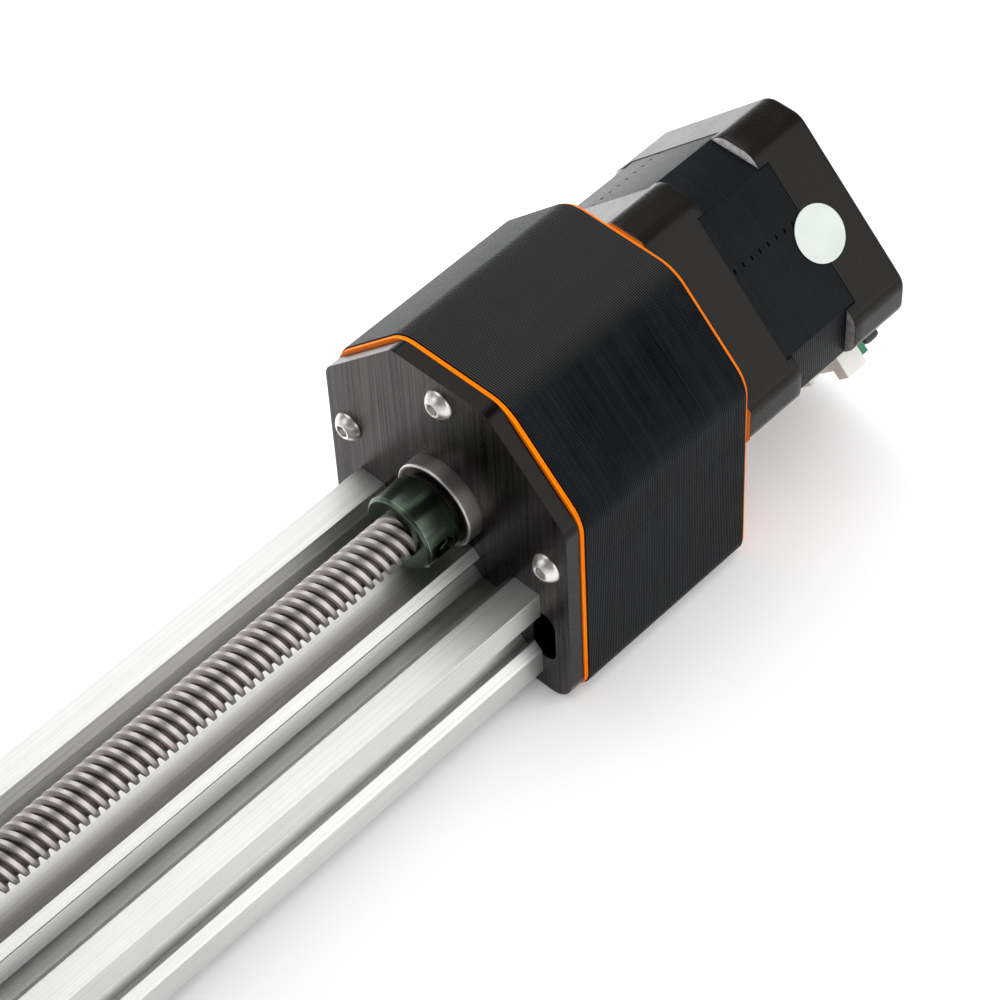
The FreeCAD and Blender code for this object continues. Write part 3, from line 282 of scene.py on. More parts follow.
# %% Edge wear
CHIP_SCALE = 700.0
CHIP_DETAIL = 3.0
CHIP_LOW, CHIP_HIGH = 0.35, 0.6
CHIP_LEAST = 0.6
edge_wear, wear_in, wear_out = new_group("edge_wear", {"Vector": "Vector", "Edge": "Float"}, ("Mask",))
chips = add_node(edge_wear, "ShaderNodeTexNoise", {"Scale": CHIP_SCALE, "Detail": CHIP_DETAIL})
chipped = add_node(edge_wear, "ShaderNodeMapRange", {
    "From Min": CHIP_LOW, "From Max": CHIP_HIGH, "To Min": CHIP_LEAST,
})
masked = add_node(edge_wear, "ShaderNodeMath", operation="MULTIPLY")
join(edge_wear, (wear_in, "Vector", chips, "Vector"), (chips, "Fac", chipped, "Value"),
     (chipped, 0, masked, 0), (wear_in, "Edge", masked, 1), (masked, 0, wear_out, "Mask"))
print("group", edge_wear.name)

# %% [markdown]
# ## Finishes
#
# Every finish is the same short network with its own values: two shades that the surface marks mix, a range
# of roughness, a relief in millimetres, and where they are wanted a worn colour for the edges and a dark one
# painted as shade on parts that sit in shadow between others. A separate network for each part would repeat
# the same nodes twenty times. Lines run along the direction in which the stretch is small: along the rail as
# it left the die, upright on the plates as they were brushed, and round the axis on turned parts. Two
# finishes get one more colour on faces that look a certain way: the rim of the brushed plates, and on the
# level parts of the cover dust together with a painted highlight on the ridges of the layers.

# %% The finish function
EVEN = (1500, 1500, 1500)
ALONG = (2600, 12, 2600)
UPRIGHT = (2300, 60, 30)
ACROSS = (30, 3200, 30)
SHADE_SHARE = 0.15
LAYER_NODE = "layers"
finishes = {}


def tint(material, mask, colour):
    """Lays a colour over a finish where a mask is 1: a mix between the finish's colour and the shader."""
    tree = material.node_tree
    shader = tree.nodes["Principled BSDF"]
    below = shader.inputs["Base Color"].links[0].from_socket
    over = add_node(tree, "ShaderNodeMix", {COLOUR_B: (*colour, 1)}, data_type="RGBA")
    tree.links.new(mask, over.inputs[MIX_FACTOR])
    tree.links.new(below, over.inputs[COLOUR_A])
    tree.links.new(over.outputs[COLOUR_RESULT], shader.inputs["Base Color"])


def facing_mask(tree, axis, start, full, both_ways):
    """A mask that goes from 0 to 1 while the named part of a face's direction goes from start to full.
    Where both ways count, only the size of that part is measured."""
    facing = add_node(tree, "ShaderNodeNewGeometry")
    shares = add_node(tree, "ShaderNodeSeparateXYZ")
    measured = add_node(tree, "ShaderNodeMath", {1: 0}, operation="ABSOLUTE" if both_ways else "ADD")
    mask = add_node(tree, "ShaderNodeMapRange", {
        "From Min": start, "From Max": full,
    }, interpolation_type="SMOOTHSTEP")
    join(tree, (facing, "Normal", shares, 0), (shares, axis, measured, 0), (measured, 0, mask, "Value"))
    return mask


def make_finish(slot, dark, light, rough, metallic=0.0, specular=0.5, stretch=EVEN, line_share=0.3,
                grain=2500, blotch=90, relief=0.01, layer=None, worn=None, painted_shade=None):
    """A material for one slot, kept under the slot's name."""
    material = bpy.data.materials.new(slot)
    material.use_nodes = True
    tree = material.node_tree
    shader = tree.nodes["Principled BSDF"]
    shader.inputs["Metallic"].default_value = metallic
    shader.inputs["Specular IOR Level"].default_value = specular
    place = add_node(tree, "ShaderNodeTexCoord")
    marks = add_node(tree, "ShaderNodeGroup", {
        "Stretch": stretch, "Grain Scale": grain, "Blotch Scale": blotch, "Line Share": line_share,
    }, node_tree=surface_marks)
    join(tree, (place, "Object", marks, "Vector"))
    ramp = add_node(tree, "ShaderNodeValToRGB")
    ramp.color_ramp.elements[0].color = (*dark, 1)
    ramp.color_ramp.elements[1].color = (*light, 1)
    if layer:
        low, high, layer_count = layer
        layers = add_node(tree, "ShaderNodeGroup", {
            "Start": low, "Thickness": (high - low) / layer_count,
        }, node_tree=layer_tones, name=LAYER_NODE)
        # Surface marks blended with each layer's shade, then multiplied by the ridge value: painted shade in
        # the grooves between layers.
        blend = add_node(tree, "ShaderNodeMix", {MIX_FACTOR: SHADE_SHARE}, data_type="FLOAT")
        raised = add_node(tree, "ShaderNodeMath", operation="MULTIPLY")
        join(tree, (place, "Object", layers, "Vector"), (marks, "Tone", blend, MIX_A),
             (layers, "Shade", blend, MIX_B), (blend, MIX_RESULT, raised, 0), (layers, "Ridge", raised, 1),
             (raised, 0, ramp, "Fac"))
    else:
        join(tree, (marks, "Tone", ramp, "Fac"))
    gloss = add_node(tree, "ShaderNodeMapRange", {"To Min": rough[0], "To Max": rough[1]})
    bump = add_node(tree, "ShaderNodeBump", {"Strength": 1.0, "Distance": relief * MM})
    join(tree, (ramp, "Color", shader, "Base Color"), (marks, "Shine", gloss, "Value"),
         (gloss, 0, shader, "Roughness"), (marks, "Height", bump, "Height"),
         (bump, "Normal", shader, "Normal"))
    if worn:
        edge = add_node(tree, "ShaderNodeAttribute", attribute_name="edge")
        wear = add_node(tree, "ShaderNodeGroup", node_tree=edge_wear)
        join(tree, (place, "Object", wear, "Vector"), (edge, "Fac", wear, "Edge"))
        tint(material, wear.outputs["Mask"], worn)
    # Parts in shadow between others carry a value of 1 here, and get the dark colour as painted shade.
    if painted_shade:
        shade_attribute = add_node(tree, "ShaderNodeAttribute", attribute_name="painted_shade")
        tint(material, shade_attribute.outputs["Fac"], painted_shade)
    finishes[slot] = material
    return material


print("finish function is ready")

# %% Bare metals
make_finish("rail", (0.56, 0.56, 0.548), (0.80, 0.80, 0.785), (0.34, 0.50), metallic=1.0,
            stretch=ALONG, line_share=0.65, grain=5200, blotch=30, relief=0.004, worn=(0.95, 0.95, 0.94))
# The dark colour is painted shade for the shims, which sit in the gap between collar and bearing.
make_finish("stainless", (0.76, 0.74, 0.70), (0.90, 0.88, 0.84), (0.26, 0.38), metallic=1.0,
            line_share=0.3, grain=3500, blotch=300, relief=0.0015, worn=(0.92, 0.90, 0.86),
            painted_shade=(0.05, 0.045, 0.04))
make_finish("bearing_steel", (0.46, 0.435, 0.425), (0.56, 0.53, 0.515), (0.34, 0.42), metallic=1.0,
            stretch=ACROSS, line_share=1.0, grain=300, relief=0.0005, worn=(0.80, 0.78, 0.76))
make_finish("bearing_shield", (0.10, 0.095, 0.09), (0.20, 0.19, 0.185), (0.30, 0.45), metallic=1.0,
            line_share=0.2, relief=0.002)
make_finish("coupler_aluminium", (0.60, 0.60, 0.60), (0.80, 0.80, 0.80), (0.25, 0.38), metallic=1.0,
            stretch=ACROSS, line_share=0.7, relief=0.003, worn=(0.92, 0.92, 0.92))
make_finish("bronze", (0.42, 0.25, 0.10), (0.66, 0.44, 0.20), (0.24, 0.40), metallic=1.0,
            stretch=ACROSS, line_share=0.5, relief=0.003, worn=(0.80, 0.60, 0.33))
make_finish("copper", (0.42, 0.13, 0.05), (0.72, 0.30, 0.14), (0.22, 0.40), metallic=1.0,
            stretch=ACROSS, line_share=0.7, relief=0.01)
make_finish("connector_gold", (0.70, 0.62, 0.46), (0.86, 0.80, 0.64), (0.16, 0.28), metallic=1.0,
            relief=0.001)
print("bare metals done,", len(finishes), "finishes so far")

# %% Black metals
stack_low, stack_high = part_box("stator_stack")
SHEETS = 34
RIM_TURN, RIM_FULL = 0.9, 0.6
RIM_COLOUR = (0.020, 0.0180, 0.0174)
black_plate = make_finish(
    "black_plate", (0.0012, 0.0010, 0.0009), (0.069, 0.0592, 0.0566), (0.24, 0.36), metallic=1.0,
    stretch=UPRIGHT, line_share=0.95, blotch=70, relief=0.014, worn=(0.10, 0.094, 0.094))
rim = facing_mask(black_plate.node_tree, "Y", RIM_TURN, RIM_FULL, both_ways=True)
tint(black_plate, rim.outputs["Result"], RIM_COLOUR)
make_finish("collar_black", (0.048, 0.071, 0.049), (0.122, 0.170, 0.122), (0.17, 0.25), metallic=1.0,
            stretch=ACROSS, line_share=0.4, relief=0.0008, worn=(0.46, 0.47, 0.45))
make_finish("motor_black", (0.0066, 0.0058, 0.0048), (0.0094, 0.0084, 0.0070), (0.22, 0.32), specular=0.155,
            line_share=0.15, grain=3800, blotch=120, relief=0.002, worn=(0.58, 0.57, 0.57))
make_finish("lamination", (0.0035, 0.0042, 0.0049), (0.0108, 0.0130, 0.0151), (0.24, 0.34), specular=0.07,
            stretch=ACROSS, line_share=0.5, relief=0.003, layer=(stack_low.y, stack_high.y, SHEETS))
make_finish("carriage_black", (0.010, 0.010, 0.0105), (0.024, 0.024, 0.025), (0.36, 0.52), specular=0.6,
            line_share=0.2, grain=4200, blotch=60, relief=0.006, worn=(0.16, 0.16, 0.16))
print("black metals done,", len(finishes), "finishes so far")

# %% Prints and plastics
cover_low, cover_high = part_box("coupler_cover")
gasket_low, gasket_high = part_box("front_gasket")
COVER_LAYERS = 94
GASKET_LAYERS = 2
DUST_AND_HIGHLIGHT_FLAT = 1.0
DUST_AND_HIGHLIGHT_STEEP = 0.72
DUST_AND_HIGHLIGHT_COLOUR = (0.036, 0.036, 0.0356)
cover_print = make_finish(
    "cover_print", (0.0004, 0.0006, 0.0008), (0.017, 0.0205, 0.0235), (0.26, 0.38), specular=0.06,
    stretch=ACROSS, line_share=0.5, relief=0.006, layer=(cover_low.y, cover_high.y, COVER_LAYERS))
# Upward faces of the cover get a paler colour on the layers' ridges: dust, together with a painted highlight.
tree = cover_print.node_tree
dust_and_highlight = facing_mask(tree, "Z", DUST_AND_HIGHLIGHT_STEEP, DUST_AND_HIGHLIGHT_FLAT, both_ways=False)
dust_and_highlight_on_ridges = add_node(tree, "ShaderNodeMath", operation="MULTIPLY")
join(tree, (dust_and_highlight, "Result", dust_and_highlight_on_ridges, 0), (tree.nodes[LAYER_NODE], "Ridge", dust_and_highlight_on_ridges, 1))
tint(cover_print, dust_and_highlight_on_ridges.outputs[0], DUST_AND_HIGHLIGHT_COLOUR)
# The dark orange is painted shade for the motor pad, which lies in shadow at the motor's face.
make_finish("orange_print", (0.80, 0.155, 0.001), (1.0, 0.305, 0.003), (0.36, 0.50), specular=0.04,
            stretch=ACROSS, line_share=0.5, relief=0.006,
            layer=(gasket_low.y, gasket_high.y, GASKET_LAYERS), painted_shade=(0.30, 0.065, 0.004))
make_finish("connector_white", (0.66, 0.645, 0.59), (0.80, 0.79, 0.74), (0.34, 0.46),
            line_share=0.1, relief=0.003)
make_finish("board_green", (0.010, 0.13, 0.060), (0.028, 0.26, 0.13), (0.28, 0.42),
            line_share=0.1, relief=0.003)
make_finish("black_plastic", (0.006, 0.006, 0.0065), (0.014, 0.014, 0.015), (0.34, 0.48),
            line_share=0.1, grain=4500, relief=0.005, worn=(0.045, 0.045, 0.047))
make_finish("wheel_black", (0.007, 0.007, 0.0075), (0.017, 0.017, 0.018), (0.36, 0.52),
            line_share=0.1, grain=3800, relief=0.004, worn=(0.05, 0.05, 0.052))
make_finish("sticker_white", (0.51, 0.56, 0.53), (0.58, 0.63, 0.60), (0.38, 0.50), specular=0.2,
            line_share=0.1, relief=0.002)
print("prints and plastics done,", len(finishes), "finishes so far")

# %% [markdown]
# ## The white sheet
#
# The floor is a large sheet of paper. A single flat colour would do from afar, but paper has a faint tooth,
# so its finish is made in the same way as the others.

# %% Floor
FLOOR_HALF = 4.0
make_finish("paper", (0.86, 0.86, 0.86), (0.90, 0.90, 0.90), (0.75, 0.90), specular=0.2, line_share=0.0,
            grain=900, blotch=6, relief=0.004)
sheet = bpy.data.meshes.new("floor")
floor_corners = [(-1, -1), (1, -1), (1, 1), (-1, 1)]
sheet.from_pydata([(x * FLOOR_HALF, y * FLOOR_HALF, 0) for x, y in floor_corners], [], [(0, 1, 2, 3)])
sheet.materials.append(finishes["paper"])
floor = bpy.data.objects.new("floor", sheet)
bpy.context.scene.collection.objects.link(floor)
print("floor", 2 * FLOOR_HALF, "metres wide")

# %% [markdown]
# ## Tools for surfaces
#
# A new piece is worked out as arrays: rows of points, joined to the next row by four-cornered faces. Several
# such patches make one piece. Where two patches share an edge their points fall together, so merging points
# closes the seams, and the faces are then turned outwards.

# %% Surface helpers
SEAM = 2e-7
SMOOTH_ANGLE = math.radians(35)
CIRCLE_STEPS = 48
axis_height = sum(end.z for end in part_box("lead_screw")) / 2


def grid_faces(rows, columns, closed=True):
    """Corner numbers of the faces between rows; a closed grid joins its last column to its first."""
    row = np.arange(rows - 1)[:, None] * columns
    column = np.arange(columns if closed else columns - 1)[None, :]
    after = (column + 1) % columns
    corners = (row + column, row + after, row + columns + after, row + columns + column)
    return np.stack(np.broadcast_arrays(*corners), -1).reshape(-1, 4)


def close_seams(mesh):
    """Merges points that fall together, drops empty faces, turns all faces outwards and sets smoothing."""
    shell = bmesh.new()
    shell.from_mesh(mesh)
    bmesh.ops.remove_doubles(shell, verts=shell.verts, dist=SEAM)
    bmesh.ops.dissolve_degenerate(shell, edges=shell.edges, dist=SEAM)
    bmesh.ops.recalc_face_normals(shell, faces=shell.faces)
    shell.to_mesh(mesh)
    shell.free()
    mesh.shade_smooth()
    mesh.set_sharp_from_angle(angle=SMOOTH_ANGLE)


def set_piece(name, mesh, body, slot, stands_for):
    """An object for a finished mesh, with its finish, the body that it rides on and the nodes it replaces."""
    mesh.materials.clear()
    mesh.materials.append(finishes[slot])
    piece = bpy.data.objects.new(name, mesh)
    bpy.context.scene.collection.objects.link(piece)
    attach(piece, body)
    if stands_for:
        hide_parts(*stands_for)
    return piece


def make_piece(name, slot, patches, stands_for=(), body="frame"):
    """Joins patches, each with points, faces and a wear value, into one closed piece."""
    starts = np.cumsum([0] + [points.size // 3 for points, faces, worn in patches])
    points = np.concatenate([points.reshape(-1, 3) for points, faces, worn in patches])
    faces = [face for patch, start in zip(patches, starts) for face in (patch[1] + start).tolist()]
    worn = np.concatenate([np.full(len(faces), worn) for points, faces, worn in patches])
    mesh = bpy.data.meshes.new(name)
    mesh.from_pydata(points.tolist(), [], faces)
    mesh.attributes.new("edge", "FLOAT", "FACE").data.foreach_set("value", worn.astype(np.float32))
    close_seams(mesh)
    return set_piece(name, mesh, body, slot, stands_for)


def rounded(corners, radii, steps):
    """An outline whose corners are arcs that touch both their sides, and its outward directions.
    An arc's centre lies on the corner's bisector, at its radius over the sine of half the corner's angle."""
    corners = np.asarray(corners, float)
    before = np.roll(corners, 1, axis=0) - corners
    after = np.roll(corners, -1, axis=0) - corners
    before /= np.linalg.norm(before, axis=1, keepdims=True)
    after /= np.linalg.norm(after, axis=1, keepdims=True)
    middle = before + after
    middle /= np.linalg.norm(middle, axis=1, keepdims=True)
    half = np.arccos(np.clip((before * middle).sum(1), -1, 1))
    radii = np.broadcast_to(np.asarray(radii, float), half.shape)
    centres = corners + middle * (radii / np.sin(half))[:, None]
    start = np.arctan2(before[:, 0], -before[:, 1])
    finish = np.arctan2(-after[:, 0], after[:, 1])
    sweep = (finish - start + math.pi) % (2 * math.pi) - math.pi
    angles = start[:, None] + sweep[:, None] * np.linspace(0, 1, steps)
    outwards = np.stack([np.cos(angles), np.sin(angles)], -1)
    points = centres[:, None] + outwards * (radii * np.sign(sweep))[:, None, None]
    return points.reshape(-1, 2), outwards.reshape(-1, 2)


def along_y(outline, heights):
    """Points in space from an outline across Y: one row of the outline at each height."""
    outline = np.broadcast_to(outline, (len(heights), *outline.shape[-2:]))
    heights = np.broadcast_to(np.asarray(heights)[:, None], outline.shape[:2])
    return np.stack([outline[..., 0], heights, outline[..., 1] + axis_height], -1)


def walls(outline, heights):
    """A patch without wear that carries an outline, or one outline for each height, along Y."""
    points = along_y(outline, heights)
    return points, grid_faces(*points.shape[:2]), 0.0


def flat_face(loops, height, worn=0.0):
    """A flat patch at one height along Y: the first loop is its rim, and the others are holes."""
    triangles = np.array(tessellate_polygon([[Vector((*spot, 0)) for spot in loop] for loop in loops]))
    return along_y(np.concatenate(loops), [height]), triangles, worn


def circle(radius, centre=(0, 0)):
    """A round loop of points."""
    angles = np.linspace(0, 2 * math.pi, CIRCLE_STEPS, endpoint=False)
    return np.stack([np.cos(angles), np.sin(angles)], -1) * radius + np.asarray(centre)


print("surface helpers are ready, screw axis at height", round(axis_height, 4))

# %% [markdown]
# ## Lead screw
#
# The screw has four threads side by side, each two millimetres from the next, so one turn moves the nut by
# eight. It could be a long helix swept along the axis, but four sweeps would have to be joined. Instead one
# tooth's section is repeated along the axis, and the whole grid is sheared: it climbs by one lead in a full
# turn, and its last column falls on its first one. The ends are then cut square. The finish has a dark
# brown tint wherever the distance from the axis is small, so the valleys are darker.

# %% Steel with dark valleys
screw_low, screw_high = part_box("lead_screw")
screw_radius = screw_high.x
VALLEY_TINT_TOP = 0.75 * MM
VALLEY_TINT_FULL = 1.0 * MM
VALLEY_TINT_COLOUR = (0.085, 0.063, 0.053)
screw_steel = make_finish(
    "screw_steel", (0.45, 0.407, 0.387), (0.63, 0.58, 0.56), (0.38, 0.50), metallic=1.0,
    stretch=ACROSS, line_share=0.4, blotch=220, relief=0.004)
tree = screw_steel.node_tree
spot = add_node(tree, "ShaderNodeTexCoord")
from_axis = add_node(tree, "ShaderNodeVectorMath", {1: (0, 0, -axis_height)}, operation="ADD")
across_axis = add_node(tree, "ShaderNodeVectorMath", {1: (1, 0, 1)}, operation="MULTIPLY")
reach = add_node(tree, "ShaderNodeVectorMath", operation="LENGTH")
valley_tint = add_node(tree, "ShaderNodeMapRange", {
    "From Min": screw_radius - VALLEY_TINT_TOP, "From Max": screw_radius - VALLEY_TINT_FULL,
})
join(tree, (spot, "Object", from_axis, 0), (from_axis, 0, across_axis, 0), (across_axis, 0, reach, 0),
     (reach, "Value", valley_tint, "Value"))
tint(screw_steel, valley_tint.outputs[0], VALLEY_TINT_COLOUR)
print("screw radius", round(screw_radius, 4))

# %% Threaded screw
THREAD_LEAD = 8 * MM
THREAD_PITCH = 2 * MM
THREAD_COLUMNS = 44
TOOTH_PLACES = np.array([0, 0.5, 0.79, 0.87, 1.63, 1.71]) * MM
TOOTH_SINKS = np.array([1.0, 1.0, 0.09, 0, 0, 0.09]) * MM


def thread_points(low, high, radius):
    """Points (r sin a, y + lead a / 2 pi, r cos a).
    Here y runs along the teeth, and r follows the tooth's section."""
    teeth = math.ceil((high - low + THREAD_LEAD) / THREAD_PITCH) + 1
    heights = low - THREAD_LEAD + (np.arange(teeth)[:, None] * THREAD_PITCH + TOOTH_PLACES).reshape(-1, 1)
    radii = np.tile(radius - TOOTH_SINKS, teeth)[:, None]
    angles = np.linspace(0, 2 * math.pi, THREAD_COLUMNS + 1)[None, :]
    climb = heights + THREAD_LEAD * angles / (2 * math.pi)
    return np.stack([radii * np.sin(angles), climb, radii * np.cos(angles) + axis_height], -1)


def cut_square(mesh, low, high):
    """Cuts a mesh off at two heights along Y and fills the cuts."""
    shell = bmesh.new()
    shell.from_mesh(mesh)
    for height, outwards in ((low, -1), (high, 1)):
        everything = [*shell.verts, *shell.edges, *shell.faces]
        cut = bmesh.ops.bisect_plane(shell, geom=everything, dist=SEAM, plane_co=(0, height, 0),
                                     plane_no=(0, outwards, 0), clear_outer=True)
        rim = [item for item in cut["geom_cut"] if isinstance(item, bmesh.types.BMEdge)]
        bmesh.ops.holes_fill(shell, edges=rim)
    bmesh.ops.recalc_face_normals(shell, faces=shell.faces)
    shell.to_mesh(mesh)
    shell.free()
    mesh.set_sharp_from_angle(angle=SMOOTH_ANGLE)


thread = thread_points(screw_low.y, screw_high.y, screw_radius)
thread_patch = (thread, grid_faces(*thread.shape[:2], closed=False), 0.0)
threaded_screw = make_piece("threaded_screw", "screw_steel", [thread_patch], ["lead_screw"], "spindle")
cut_square(threaded_screw.data, screw_low.y, screw_high.y)
print("thread", len(threaded_screw.data.polygons), "faces")

# %% [markdown]
# ## Printed cover and gaskets
#
# The cover over the coupler was printed standing on its end, so each layer is a ring round the axis, and its
# edge bulges a little between two grooves. A bump in the finish could fake this, but the layers show along
# the outline and in the mesh itself as well, so they are real: the outline is carried along the axis in
# six rows for each layer. A faint crease runs along each side at the height of the axis, where the walls
# inside begin. The two orange gaskets were printed the same way, in two thick layers each, and lie a little
# deeper than the cover.

# %% Outline of the cover
COVER_SHOULDER = 27.3 * MM
COVER_ROUND = 8 * MM
FOOT_ROUND = 5 * MM
COVER_WALL = 1.6 * MM
COVER_BACK = 2 * MM
CREASE_HALF = 0.35 * MM
CREASE_DEPTH = 0.035 * MM
CREASE_ROUND = 0.05 * MM
CORNER_STEPS = 9
LAYER_SHARES = np.array([0, 0.1, 0.28, 0.5, 0.72, 0.9])


def mirrored(right_half):
    """A right half from the foot upwards, followed by its mirror image downwards."""
    right_half = np.asarray(right_half, float)
    return np.concatenate([right_half, right_half[::-1] * (-1, 1)])


def cover_outline(inset=0.0, creased=False):
    """Foot, upright sides and shoulders at 45 degrees about the axis, with arcs at the corners."""
    side = cover_high.x - inset
    top = cover_high.z - axis_height - inset
    foot = cover_low.z - axis_height + inset
    slope = (COVER_SHOULDER - inset) * math.sqrt(2)
    crease = [(side, -CREASE_HALF), (side - CREASE_DEPTH, 0), (side, CREASE_HALF)] if creased else []
    corners = [(side, foot), *crease, (side, slope - side), (slope - top, top)]
    shoulder_round = COVER_ROUND - inset
    radii = [FOOT_ROUND - inset, *[CREASE_ROUND] * len(crease), shoulder_round, shoulder_round]
    return rounded(mirrored(corners), radii + radii[::-1], CORNER_STEPS)


def layer_rows(low, high, layers, sink):
    """Heights and sinks of printed layers: in each the wall bulges as half an ellipse between two grooves."""
    heights = low + (np.arange(layers)[:, None] + LAYER_SHARES) * (high - low) / layers
    sinks = sink * (1 - np.sqrt(1 - (2 * LAYER_SHARES - 1) ** 2))
    return np.append(heights.ravel(), high), np.append(np.tile(sinks, layers), sink)


print("cover outline has", len(cover_outline(creased=True)[0]), "points")

# %% Cover and gaskets
LAYER_SINK = 0.12 * MM
GASKET_SINK = 0.13 * MM
GASKET_INSET = 0.3 * MM
SCREW_CIRCLE = 15.5 * math.sqrt(2) * MM
PILOT_RADIUS = 11.3 * MM
SPACER_RADIUS = 3.3 * MM
screw_spots = SCREW_CIRCLE * np.array([(1, 0), (0, 1), (-1, 0), (0, -1)])
back_holes = [circle(PILOT_RADIUS)] + [circle(SPACER_RADIUS, spot) for spot in screw_spots]


def layered(outline, outwards, low, high, layers, sink):
    """The outline at every row of every layer, sunk in the grooves, and the rows' heights."""
    heights, sinks = layer_rows(low, high, layers, sink)
    return outline - outwards * sinks[:, None, None], heights


def make_cover():
    """The cover: layered wall, front rim, plain inside, and a back wall with holes."""
    outside = cover_outline(creased=True)
    rows, heights = layered(*outside, cover_low.y, cover_high.y, COVER_LAYERS, LAYER_SINK)
    inside = cover_outline(COVER_WALL)[0]
    back = cover_high.y - COVER_BACK
    patches = [
        walls(rows, heights),
        flat_face([rows[0], inside], cover_low.y),
        walls(inside, [cover_low.y, back]),
        flat_face([inside, *back_holes], back),
        flat_face([rows[-1], *back_holes], cover_high.y),
    ]
    patches += [walls(hole, [back, cover_high.y]) for hole in back_holes]
    return make_piece("cover_layers", "cover_print", patches, ["coupler_cover"])


def make_gasket(node, holes):
    """A gasket: thick layers round the outline, and two flat faces with holes."""
    low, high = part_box(node)
    rows, heights = layered(*cover_outline(GASKET_INSET), low.y, high.y, GASKET_LAYERS, GASKET_SINK)
    patches = [
        walls(rows, heights),
        flat_face([rows[0], *holes], low.y),
        flat_face([rows[-1], *holes], high.y),
    ]
    patches += [walls(hole, [low.y, high.y]) for hole in holes]
    return make_piece(node + "_layers", "orange_print", patches, [node])


printed = [make_cover(), make_gasket("front_gasket", [cover_outline(COVER_WALL)[0]]),
           make_gasket("rear_gasket", back_holes)]
print({piece.name: len(piece.data.polygons) for piece in printed})

# %% [markdown]
# ## Motor
#
# Between its two caps the motor is a pile of thin steel sheets, and their edges show as fine lines. On each
# side a row of small dark notches shows where the sheets are locked together. Both are one grid again: the
# outline gets four more points on each side, and the inner two of them sink in every fourth sheet. At the
# corners, where the sheets are cut back, the caps reach over them with a short lobe whose end was left bare.
# The end of the lobe on the +X side shows less of the bare colour, which is painted shade.

# %% Lamination stack
MOTOR_WIDTH = 42.3 * MM
STACK_WIDTH = 42.1 * MM
STACK_CUT = 7.5 * MM
STACK_ROUND = 0.3 * MM
STACK_STEPS = 3
STACK_BORE = 11.3 * MM
SHEET_SINK = 0.045 * MM
NOTCH_STEP = 4
NOTCH_FIRST = 1
NOTCH_HALF = 0.38 * MM
NOTCH_WALL = 0.03 * MM
NOTCH_DEPTH = 0.35 * MM
NOTCH_PLACES = np.array([3.1, 3.1, 4.7, 4.7]) * MM
EIGHTH_TURN = np.array([(1, -1), (1, 1)]) / math.sqrt(2)
QUARTER_TURN = np.array([(0, 1), (-1, 0)])


def cut_corners(width, cut):
    """The eight corners of a square whose own corners are cut off, two for each side."""
    half = width / 2
    side = np.array([(half, cut - half), (half, half - cut)])
    return np.concatenate([side @ np.linalg.matrix_power(QUARTER_TURN, turns) for turns in range(4)])


def stack_outline():
    """The stack's outline with four points for each side's notches, its directions, and which points sink."""
    points, outwards = rounded(cut_corners(STACK_WIDTH, STACK_CUT), STACK_ROUND, STACK_STEPS)
    points = points.reshape(4, 2, -1, 2)
    outwards = outwards.reshape(4, 2, -1, 2)
    along = np.array([(0, 1), (-1, 0), (0, -1), (1, 0)])
    facing = np.array([(1, 0), (0, 1), (-1, 0), (0, -1)])
    reach = np.array([-NOTCH_HALF - NOTCH_WALL, -NOTCH_HALF, NOTCH_HALF, NOTCH_HALF + NOTCH_WALL])
    places = (NOTCH_PLACES[:, None] + reach)[..., None]
    notches = facing[:, None] * STACK_WIDTH / 2 + along[:, None] * places
    facing = np.broadcast_to(facing[:, None], notches.shape)
    outline = np.concatenate([points[:, 0], notches, points[:, 1]], axis=1)
    outwards = np.concatenate([outwards[:, 0], facing, outwards[:, 1]], axis=1)
    sinking = np.zeros(outline.shape[:2])
    first = points.shape[2] + 1
    sinking[:, first:first + 2] = 1
    return outline.reshape(-1, 2) @ EIGHTH_TURN, outwards.reshape(-1, 2) @ EIGHTH_TURN, sinking.ravel()


def make_stack():
    """Depth below the outline: the sheets' grooves, and the notches in every fourth sheet."""
    outline, outwards, sinking = stack_outline()
    heights, grooves = layer_rows(stack_low.y, stack_high.y, SHEETS, SHEET_SINK)
    row = np.arange(len(heights))
    rows_each = len(LAYER_SHARES)
    notched = (row // rows_each % NOTCH_STEP == NOTCH_FIRST) & (row % rows_each > 0)
    depth = grooves[:, None] + NOTCH_DEPTH * notched[:, None] * sinking
    rows = outline - outwards * depth[..., None]
    bore = circle(STACK_BORE)
    patches = [
        walls(rows, heights),
        flat_face([rows[0], bore], stack_low.y),
        flat_face([rows[-1], bore], stack_high.y),
        walls(bore, [stack_low.y, stack_high.y]),
    ]
    return make_piece("stack_sheets", "lamination", patches, ["stator_stack"])


stack_sheets = make_stack()
print("stack", len(stack_sheets.data.polygons), "faces")

# %% Lobes of the caps
CAP_CUT = 4.6 * MM
CAP_ROUND = 4 * MM
LOBE_EDGE = 0.12 * MM
LOBE_INSETS = np.array([0, 0, 0.3, 1]) * LOBE_EDGE
LOBE_BACKS = np.array([1, 1, 0.3, 0])
FRONT_LOBE = 1.5 * MM
REAR_LOBE = 2.2 * MM
# Share of bare colour on each lobe's end, from the lobe at +X round; the lower share at +X is painted shade.
LOBE_BARE_AND_SHADE = (0.35, 1.0, 1.0, 1.0)


